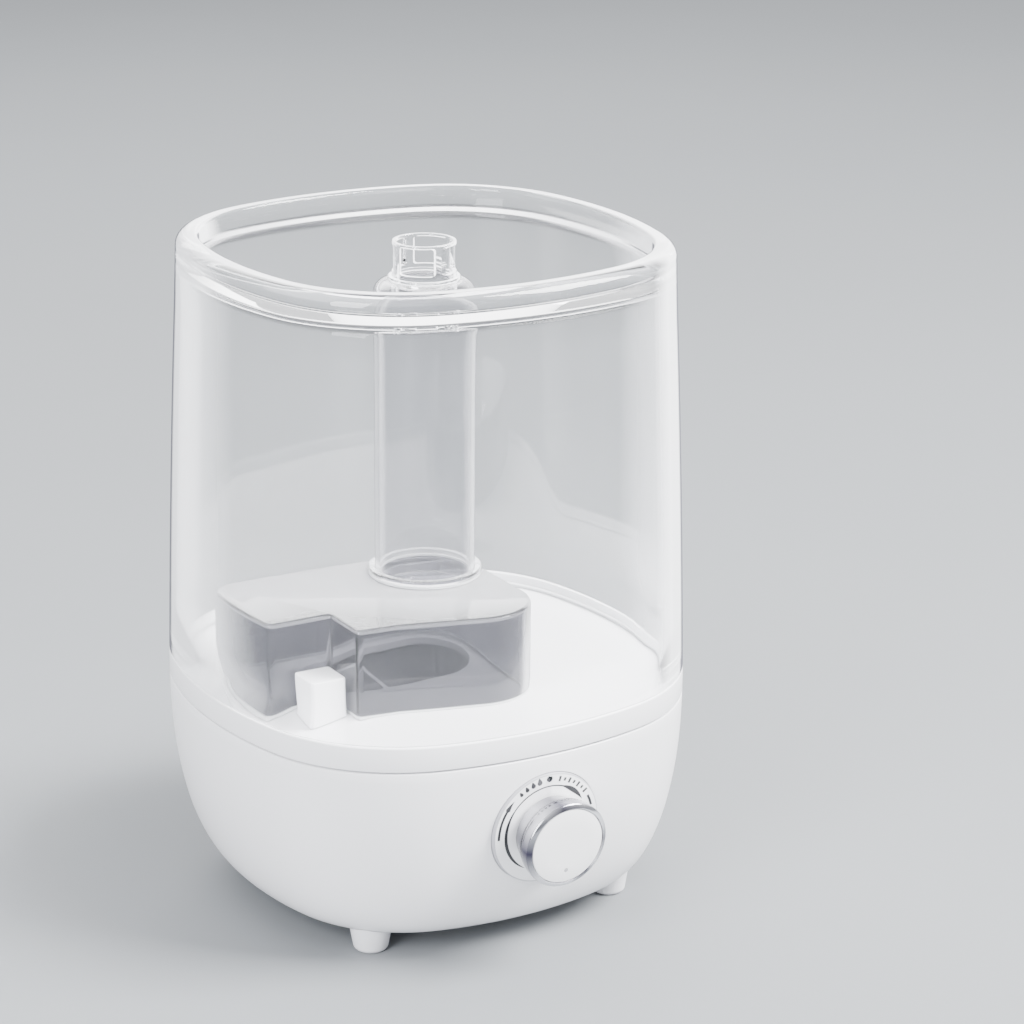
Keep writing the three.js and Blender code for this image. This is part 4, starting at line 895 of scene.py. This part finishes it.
def knob_face():
    bottom = KNOB_HEIGHT - 2 * MM + GAP
    face = spun([(0, bottom), (FACE_RADIUS, bottom), (FACE_RADIUS, KNOB_HEIGHT - 0.15 * MM),
                 (FACE_RADIUS * 0.6, KNOB_HEIGHT + 0.12 * MM), (0, KNOB_HEIGHT + 0.2 * MM)], 160,
                [(2, 0.3 * MM, 3)])
    return cut(face, bar(POINTER_RADIUS + 0.08 * MM, KNOB_HEIGHT - 0.5 * MM, KNOB_HEIGHT + MM,
                         0, -POINTER_PLACE))


def knob_spot():
    top = KNOB_HEIGHT + 0.02 * MM
    return moved(spun([(0, top - 0.4 * MM), (POINTER_RADIUS, top - 0.4 * MM), (POINTER_RADIUS, top),
                       (0, top - 0.1 * MM)], 32, [(2, 0.1 * MM, 2)]), 0, -POINTER_PLACE, 0)


piece("knob_chrome_skirt", on_dial(knob_skirt()), CHROME, "knob", "knob_chrome", "knob_skirt")
piece("knob_white_face", on_dial(knob_face()), FACE_WHITE, "knob", "white_shell", "knob_face")
piece("knob_spot", on_dial(knob_spot()), GREY_SPOT, "knob", "pointer_grey", "knob_pointer")

# %% [markdown]
# The power socket at the rear is a black barrel with a flange and a thin centre pin. The barrel
# is one spun profile and the pin another.

# %% Power socket
def power_socket():
    mouth = 2.9 * MM
    barrel = spun([(0, -16 * MM), (4.4 * MM, -16 * MM), (4.4 * MM, -3.6 * MM), (INLET_RADIUS, -3.6 * MM),
                   (INLET_RADIUS, -2.2 * MM), (mouth, -2.2 * MM), (mouth, -13 * MM), (0, -13 * MM)],
                  64, [(4, 0.3 * MM, 3), (5, 0.4 * MM, 3)])
    return at_inlet(barrel)


def socket_pin():
    return at_inlet(spun([(0, -12.9 * MM), (MM, -12.9 * MM), (MM, -4 * MM), (0, -4 * MM)], 32,
                         [(2, 0.4 * MM, 3)]))


piece("socket_barrel", power_socket(), DARK, "base", "black_plastic", "power_inlet")
piece("socket_pin", socket_pin(), STEEL, "base", "steel")

# %% [markdown]
# The tank's floor is a white moulding. Its rim is the white band above the seam, and inside the
# rim a groove takes the clear wall. The long hole in the floor lets air and mist pass, and the
# small round one is the drain.

# %% Tank floor with the white band
GROOVE_HALF = HALF - 2.4 * MM
WALL_FOOT_OUTER = GROOVE_HALF - GAP
WALL_FOOT_INNER = WALL_FOOT_OUTER - 2.4 * MM
FLOOR_TOP_Z = BAND_TOP_Z - 5 * MM
FLOOR_BOTTOM_Z = FLOOR_TOP_Z - 2.6 * MM
BAND_BOTTOM_Z = SEAM_Z + 0.8 * MM
PORT_RADIUS = 19.5 * MM
VALVE_LOW, VALVE_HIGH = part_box("valve_housing")
VALVE_X = (VALVE_LOW.x + VALVE_HIGH.x) / 2
VALVE_Y = (VALVE_LOW.y + VALVE_HIGH.y) / 2


def tank_floor():
    lip_z = BAND_LOW.z
    lip_half = HALF - WALL - GAP - 1.1 * MM
    body = outlined([
        (0, FLOOR_BOTTOM_Z), (lip_half - 2.6 * MM, FLOOR_BOTTOM_Z), (lip_half - 2.6 * MM, lip_z),
        (lip_half, lip_z), (lip_half, BAND_BOTTOM_Z), (HALF, BAND_BOTTOM_Z), (HALF, BAND_TOP_Z),
        (GROOVE_HALF, BAND_TOP_Z), (GROOVE_HALF, FLOOR_TOP_Z), (0, FLOOR_TOP_Z)],
        [(5, 0.4 * MM, 3), (6, 0.8 * MM, 4), (7, 0.3 * MM, 2)])
    port = prism([*arc(0, AXIS_Y, PORT_RADIUS, -pi / 2, pi / 2, 40),
                  *arc(FAN_X, AXIS_Y, PORT_RADIUS, pi / 2, 1.5 * pi, 40)],
                 FLOOR_BOTTOM_Z - MM, FLOOR_TOP_Z + MM)
    drain = bar(4 * MM, FLOOR_BOTTOM_Z - MM, FLOOR_TOP_Z + MM, VALVE_X, VALVE_Y)
    return cut(body, port, drain)


SEAL_Z = FLOOR_TOP_Z + GAP
SEAL_THICK = MM
wall_seal = outlined([(WALL_FOOT_INNER, SEAL_Z), (WALL_FOOT_OUTER, SEAL_Z),
                      (WALL_FOOT_OUTER, SEAL_Z + SEAL_THICK), (WALL_FOOT_INNER, SEAL_Z + SEAL_THICK)])
piece("tank_floor_ring", tank_floor(), WHITE, "tank", "white_shell", "tank_base")
piece("wall_seal", wall_seal, SILICONE, "tank", "silicone", "tank_seal")

# %% [markdown]
# The clear wall is a tall, slightly tapered moulding that ends in a thick rolled lip. In clear
# plastic the inner face matters as much as the outer one: light bends at both, and the change
# from thin wall to thick lip draws the dark and bright lines at the top. So the whole section
# is drawn, inner face too, and spun as one closed solid.

# %% Clear tank wall
TANK_TAPER = 6.5 * MM
TANK_BULGE = 0.6 * MM
TANK_WALL = 3 * MM
LIP_WIDTH_TOP = 9 * MM
LIP_HEIGHT = 9 * MM
WALL_START_Z = BAND_TOP_Z + GAP
WALL_LEVELS = 14


def tank_half(z):
    share = (z - WALL_START_Z) / (TANK_TOP_Z - 6 * MM - WALL_START_Z)
    return HALF - TANK_TAPER * share + TANK_BULGE * 4 * share * (1 - share)


def tank_wall():
    lip_inner = HALF - TANK_TAPER - LIP_WIDTH_TOP
    under_lip = TANK_TOP_Z - LIP_HEIGHT
    top_half = tank_half(TANK_TOP_Z - 6 * MM)
    levels = [WALL_START_Z + (TANK_TOP_Z - 16 * MM - WALL_START_Z) * i / WALL_LEVELS
              for i in range(1, WALL_LEVELS)]
    outer = [(tank_half(z), z) for z in levels]
    inner = [(tank_half(z) - TANK_WALL, z) for z in reversed(levels)]
    profile = [
        (HALF, WALL_START_Z), *outer, (top_half, TANK_TOP_Z), (lip_inner, TANK_TOP_Z),
        (lip_inner, under_lip), (tank_half(under_lip - 5 * MM) - TANK_WALL, under_lip - 5 * MM),
        *inner, (WALL_FOOT_INNER, WALL_START_Z + 3 * MM), (WALL_FOOT_INNER, TANK_LOW.z),
        (WALL_FOOT_OUTER, TANK_LOW.z), (WALL_FOOT_OUTER, WALL_START_Z)]
    crest = len(outer) + 1
    return outlined(profile, [(0, 0.5 * MM, 3), (crest, 5 * MM, 10), (crest + 1, 1.8 * MM, 6),
                              (crest + 2, 1.2 * MM, 4), (crest + 3, 3 * MM, 5)])


piece("tank_wall", tank_wall(), CLEAR, "tank", "clear_tank", "tank_shell")

# %% [markdown]
# Under the tube stands the mist chamber, a low clear box that keeps the water out of the air
# path. It has one long round end under the tube, follows the tank's wall on the left, and steps
# back at the corner to leave room for the drain valve. Its outline is a chain of straight runs
# and arcs, extruded, and a smaller copy of it is cut out from below.

# %% Mist chamber
CHAMBER_WALL = 2.5 * MM
TUBE_RADIUS = (TUBE_HIGH.x - TUBE_LOW.x) / 2 - 3 * MM
LOBE = TUBE_RADIUS + 3.5 * MM
LOBE_FRONT = -40 * MM
VALVE_SIZE = VALVE_HIGH.x - VALVE_LOW.x


def chamber_outline(inset):
    """Counted from the body's axis."""
    side_radius = SIDE_ARC * WALL_FOOT_INNER - 9 * MM - inset
    side_centre = (SIDE_ARC - 1) * WALL_FOOT_INNER
    valve_y = VALVE_Y - AXIS_Y
    back = LOBE + 3 * MM - inset
    notch_x = VALVE_X + VALVE_SIZE / 2 + 2 * MM + inset
    notch_y = valve_y + VALVE_SIZE / 2 + 2 * MM + inset
    front = valve_y - VALVE_SIZE / 2 - 6 * MM + inset
    radius = LOBE - inset
    bend = Vector((FAN_X, front - 2 * MM))
    to_lobe = Vector((0, LOBE_FRONT)) - bend
    direction = atan2(to_lobe.y, to_lobe.x)
    touch = direction - atan2(radius, sqrt(to_lobe.length**2 - radius**2)) - pi / 2
    start = back - 6 * MM
    side = [start + (notch_y - start) * i / 12 for i in range(13)]
    return [
        *[(side_centre - sqrt(side_radius**2 - y**2), y) for y in side],
        (notch_x, notch_y), (notch_x, front), (bend.x, bend.y),
        *arc(0, LOBE_FRONT, radius, touch, 0, 30), *arc(0, 0, radius, 0, pi / 2, 30),
        (FAN_X, back), (side_centre - sqrt(side_radius**2 - back**2) + 6 * MM, back)]


def chamber_prism(inset, bottom, top):
    bm = prism(chamber_outline(inset), bottom, top)
    folds = [edge for edge in upright_edges(bm) if edge.calc_face_angle(0) > radians(35)]
    bevel(bm, folds, 2.4 * MM - inset / 2, 5)
    return bm


def mist_chamber():
    top = CHAMBER_HIGH.z
    outer = chamber_prism(0, CHAMBER_LOW.z, top)
    rim = [edge for edge in level_edges(outer, top) if edge.calc_face_angle(0) > radians(60)]
    bevel(outer, rim, 1.6 * MM, 4)
    inner = chamber_prism(CHAMBER_WALL, CHAMBER_LOW.z - MM, top - CHAMBER_WALL)
    hole = bar(TUBE_RADIUS + 0.5 * MM, top - 9 * MM, top + MM, steps=96)
    return moved(cut(outer, inner, hole), 0, AXIS_Y, 0)


def chamber_seal():
    outer = chamber_prism(0, SEAL_Z, SEAL_Z + SEAL_THICK)
    inner = chamber_prism(CHAMBER_WALL, SEAL_Z - MM, SEAL_Z + 2 * MM)
    return moved(cut(outer, inner), 0, AXIS_Y, 0)


piece("chamber_box", mist_chamber(), SMOKE, "tank", "clear_inner", "mist_chamber")
piece("chamber_gasket", chamber_seal(), SILICONE, "tank", "silicone", "chamber_seal")

# %% [markdown]
# Mist rises through a tube up the middle. It ends in a domed shoulder, and a collar with four
# windows stands in its top. The windows let splashed water run back while the mist goes on up.
# Tube and collar are spun, and the windows are two crossed bars cut through the collar at once.

# %% Mist tube and collar
COLLAR_LOW, COLLAR_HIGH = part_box("mist_collar")
TUBE_WALL = 2 * MM
SHOULDER_RISE = 5.5 * MM
SHOULDER_Z = TUBE_HIGH.z - SHOULDER_RISE
COLLAR_RADIUS = 13.6 * MM
COLLAR_WALL = 1.8 * MM
FLANGE_Z = CHAMBER_HIGH.z + GAP + SEAL_THICK + GAP
WINDOW_WIDTH = 14.8 * MM


def dome(radius, hole, base, rise):
    turns = [pi / 2 * i / 10 for i in range(11)]
    return [(hole + (radius - hole) * cos(turn), base + rise * sin(turn)) for turn in turns]


def mist_tube():
    inner = TUBE_RADIUS - TUBE_WALL
    hole = COLLAR_RADIUS + GAP
    flange = TUBE_RADIUS + 3 * MM
    profile = [
        (TUBE_RADIUS, TUBE_LOW.z), (TUBE_RADIUS, FLANGE_Z), (flange, FLANGE_Z),
        (flange, FLANGE_Z + 2 * MM), (TUBE_RADIUS, FLANGE_Z + 2 * MM),
        *dome(TUBE_RADIUS, hole, SHOULDER_Z, SHOULDER_RISE),
        *reversed(dome(inner, hole, SHOULDER_Z - 0.5 * MM, SHOULDER_RISE - 1.5 * MM)),
        (inner, TUBE_LOW.z)]
    return moved(spun(profile, 128, [(3, 0.6 * MM, 3)]), 0, AXIS_Y, 0)


def mist_collar():
    seat = TUBE_HIGH.z + GAP
    inner = COLLAR_RADIUS - COLLAR_WALL
    ring = spun([
        (inner, COLLAR_LOW.z), (COLLAR_RADIUS, COLLAR_LOW.z), (COLLAR_RADIUS, seat),
        (COLLAR_RADIUS + 1.6 * MM, seat), (COLLAR_RADIUS + 1.6 * MM, seat + 1.2 * MM),
        (COLLAR_RADIUS, seat + 1.2 * MM), (COLLAR_RADIUS, COLLAR_HIGH.z), (inner, COLLAR_HIGH.z)],
        128, [(4, 0.3 * MM, 2), (6, 0.45 * MM, 3), (7, 0.45 * MM, 3)])
    bars = []
    for turn in (45, 135):
        window = box(60 * MM, WINDOW_WIDTH, seat + 3.2 * MM, COLLAR_HIGH.z - 1.2 * MM)
        bevel(window, [edge for edge in window.edges if abs(edge.verts[0].co.x - edge.verts[1].co.x)
                       > 50 * MM], 1.1 * MM, 4)
        bars.append(turned(window, turn))
    return moved(cut(ring, *bars), 0, AXIS_Y, 0)


def tube_seal():
    low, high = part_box("tube_seal")
    ring = spun([(TUBE_RADIUS + GAP, low.z), (TUBE_RADIUS + 2.7 * MM, low.z),
                 (TUBE_RADIUS + 2.7 * MM, high.z), (TUBE_RADIUS + GAP, high.z)], 96)
    return moved(ring, 0, AXIS_Y, 0)


piece("mist_pipe", mist_tube(), TUBE_CLEAR, "tank", "clear_inner", "mist_tube")
piece("window_collar", mist_collar(), CLEAR, "tank", "clear_inner", "mist_collar")
piece("pipe_seal", tube_seal(), SILICONE, "tank", "silicone", "tube_seal")

# %% [markdown]
# The drain valve sits in a small white housing with two open ports at its foot. It is a rounded
# box, and its hollow and ports are cut from below.

# %% Valve housing
def valve_housing():
    low, high = VALVE_LOW.z, VALVE_HIGH.z
    shell = 1.6 * MM
    outer = rounded_box(VALVE_SIZE, VALVE_SIZE, low, high, VALVE_X, VALVE_Y, 1.6 * MM, 0.7 * MM)
    inner = rounded_box(VALVE_SIZE - 2 * shell, VALVE_SIZE - 2 * shell, low - MM, high - shell,
                        VALVE_X, VALVE_Y, 0.8 * MM)
    reach = VALVE_SIZE / 2
    port_x = box(reach, 6 * MM, low - MM, low + 4 * MM, VALVE_X + reach, VALVE_Y)
    port_y = box(6 * MM, reach, low - MM, low + 4 * MM, VALVE_X, VALVE_Y + reach)
    return cut(outer, inner, port_x, port_y)


piece("valve_box", valve_housing(), WHITE, "tank", "white_shell", "valve_housing")

# %% [markdown]
# When the tank is lifted, the deck shows: a white tray with the water basin sunk into it, the
# chimney that brings the fan's air up, the pin that opens the drain valve, and the float on its
# post. It is built as a plate, then a tub, then the things that stand in the tub.

# %% Deck and basin
DECK_TOP_Z = LEDGE_Z + GAP + 2.6 * MM
DECK_HALF = HALF - WALL - GAP
BASIN_FLOOR_Z = DECK_TOP_Z - 18.9 * MM
BASIN_UNDER_Z = BASIN_FLOOR_Z - 2.6 * MM
BASIN_LEFT, BASIN_RIGHT = 18.5 * MM - HALF, 34 * MM
BASIN_FRONT, BASIN_BACK = -58 * MM, 34 * MM
FLOAT_LOW, FLOAT_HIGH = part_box("float_ring")
FLOAT_X = (FLOAT_LOW.x + FLOAT_HIGH.x) / 2
FLOAT_Y = (FLOAT_LOW.y + FLOAT_HIGH.y) / 2
CHIMNEY = (34 * MM, 28 * MM)


def basin_block(inset, bottom, top):
    return rounded_box(BASIN_RIGHT - BASIN_LEFT - 2 * inset, BASIN_BACK - BASIN_FRONT - 2 * inset,
                       bottom, top, (BASIN_LEFT + BASIN_RIGHT) / 2,
                       AXIS_Y + (BASIN_FRONT + BASIN_BACK) / 2, 12 * MM - inset)


def chimney_block(inset, bottom, top):
    return rounded_box(CHIMNEY[0] - 2 * inset, CHIMNEY[1] - 2 * inset, bottom, top, FAN_X, AXIS_Y,
                       4 * MM - inset)


def basin_deck():
    rim_z = SEAM_Z - 1.5 * MM
    low = LEDGE_Z + GAP
    plate = outlined([
        (0, low), (DECK_HALF, low), (DECK_HALF, rim_z), (DECK_HALF - 4 * MM, rim_z),
        (DECK_HALF - 4 * MM, DECK_TOP_Z), (0, DECK_TOP_Z)],
        [(2, 0.3 * MM, 2), (3, 0.3 * MM, 2)])
    sunk = BASIN_FLOOR_Z - MM
    tub = cut(joined(plate, basin_block(0, BASIN_UNDER_Z, DECK_TOP_Z - 0.2 * MM)),
              basin_block(WALL, BASIN_FLOOR_Z, DECK_TOP_Z + 5 * MM))
    valve_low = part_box("valve_stem")[0].z
    standing = joined(tub, chimney_block(0, sunk, DECK_HIGH.z),
                      bar(2.5 * MM, sunk, valve_low - GAP, VALVE_X, VALVE_Y),
                      bar(2.5 * MM, sunk, DECK_TOP_Z - MM, FLOAT_X, FLOAT_Y))
    return cut(standing, chimney_block(2 * MM, BASIN_UNDER_Z - 5 * MM, DECK_HIGH.z + 5 * MM),
               bar(8.4 * MM, BASIN_UNDER_Z - 5 * MM, BASIN_FLOOR_Z + 5 * MM, 0, AXIS_Y, 64))


def float_ring():
    low, high = FLOAT_LOW.z, FLOAT_HIGH.z
    radius = (FLOAT_HIGH.x - FLOAT_LOW.x) / 2
    ring = spun([(3.1 * MM, low), (radius, low), (radius, high), (3.1 * MM, high)], 64,
                [(1, 1.4 * MM, 4), (2, 1.4 * MM, 4), (3, 0.3 * MM, 2)])
    magnet_low, magnet_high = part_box("float_magnet")
    pocket = bar(2.5 * MM, low - MM, magnet_high.z + GAP, (magnet_low.x + magnet_high.x) / 2 - FLOAT_X, 0)
    return moved(cut(ring, pocket), FLOAT_X, FLOAT_Y, 0)


piece("deck_tray", basin_deck(), WHITE_INNER, "base", "white_inner", "basin_deck")
piece("float_puck", float_ring(), WHITE_INNER, "float", "white_inner", "float_ring")

# %% [markdown]
# The parts that stay hidden inside keep the frame's own shapes. Each still gets the finish of
# its real material, chosen by the material slot that the record gives it.

# %% Finishes for the parts inside
SLOT_FINISH = {
    "white_shell": WHITE, "white_inner": WHITE_INNER, "foot": WHITE_FOOT, "clear_tank": CLEAR,
    "clear_inner": TUBE_CLEAR, "silicone": SILICONE, "knob_chrome": CHROME, "pointer_grey": GREY_SPOT,
    "lens": LENS, "steel": STEEL, "aluminium": ALUMINIUM, "black_plastic": DARK, "board": BOARD,
    "copper": COPPER}
kept = 0
for entry in frame["record"]["subparts"]:
    part = frame["nodes"][entry["node"]]
    part.data.materials.clear()
    part.data.materials.append(SLOT_FINISH[entry["material_slot"]])
    kept += not part.hide_render
print(kept, "parts keep the frame's shape")

# %% [markdown]
# The finished model must stay the size of the frame. Last, the faces of all the new pieces are
# counted.

# %% Count the faces
print(sum(made_faces.values()), "faces in", len(made_faces), "new pieces")
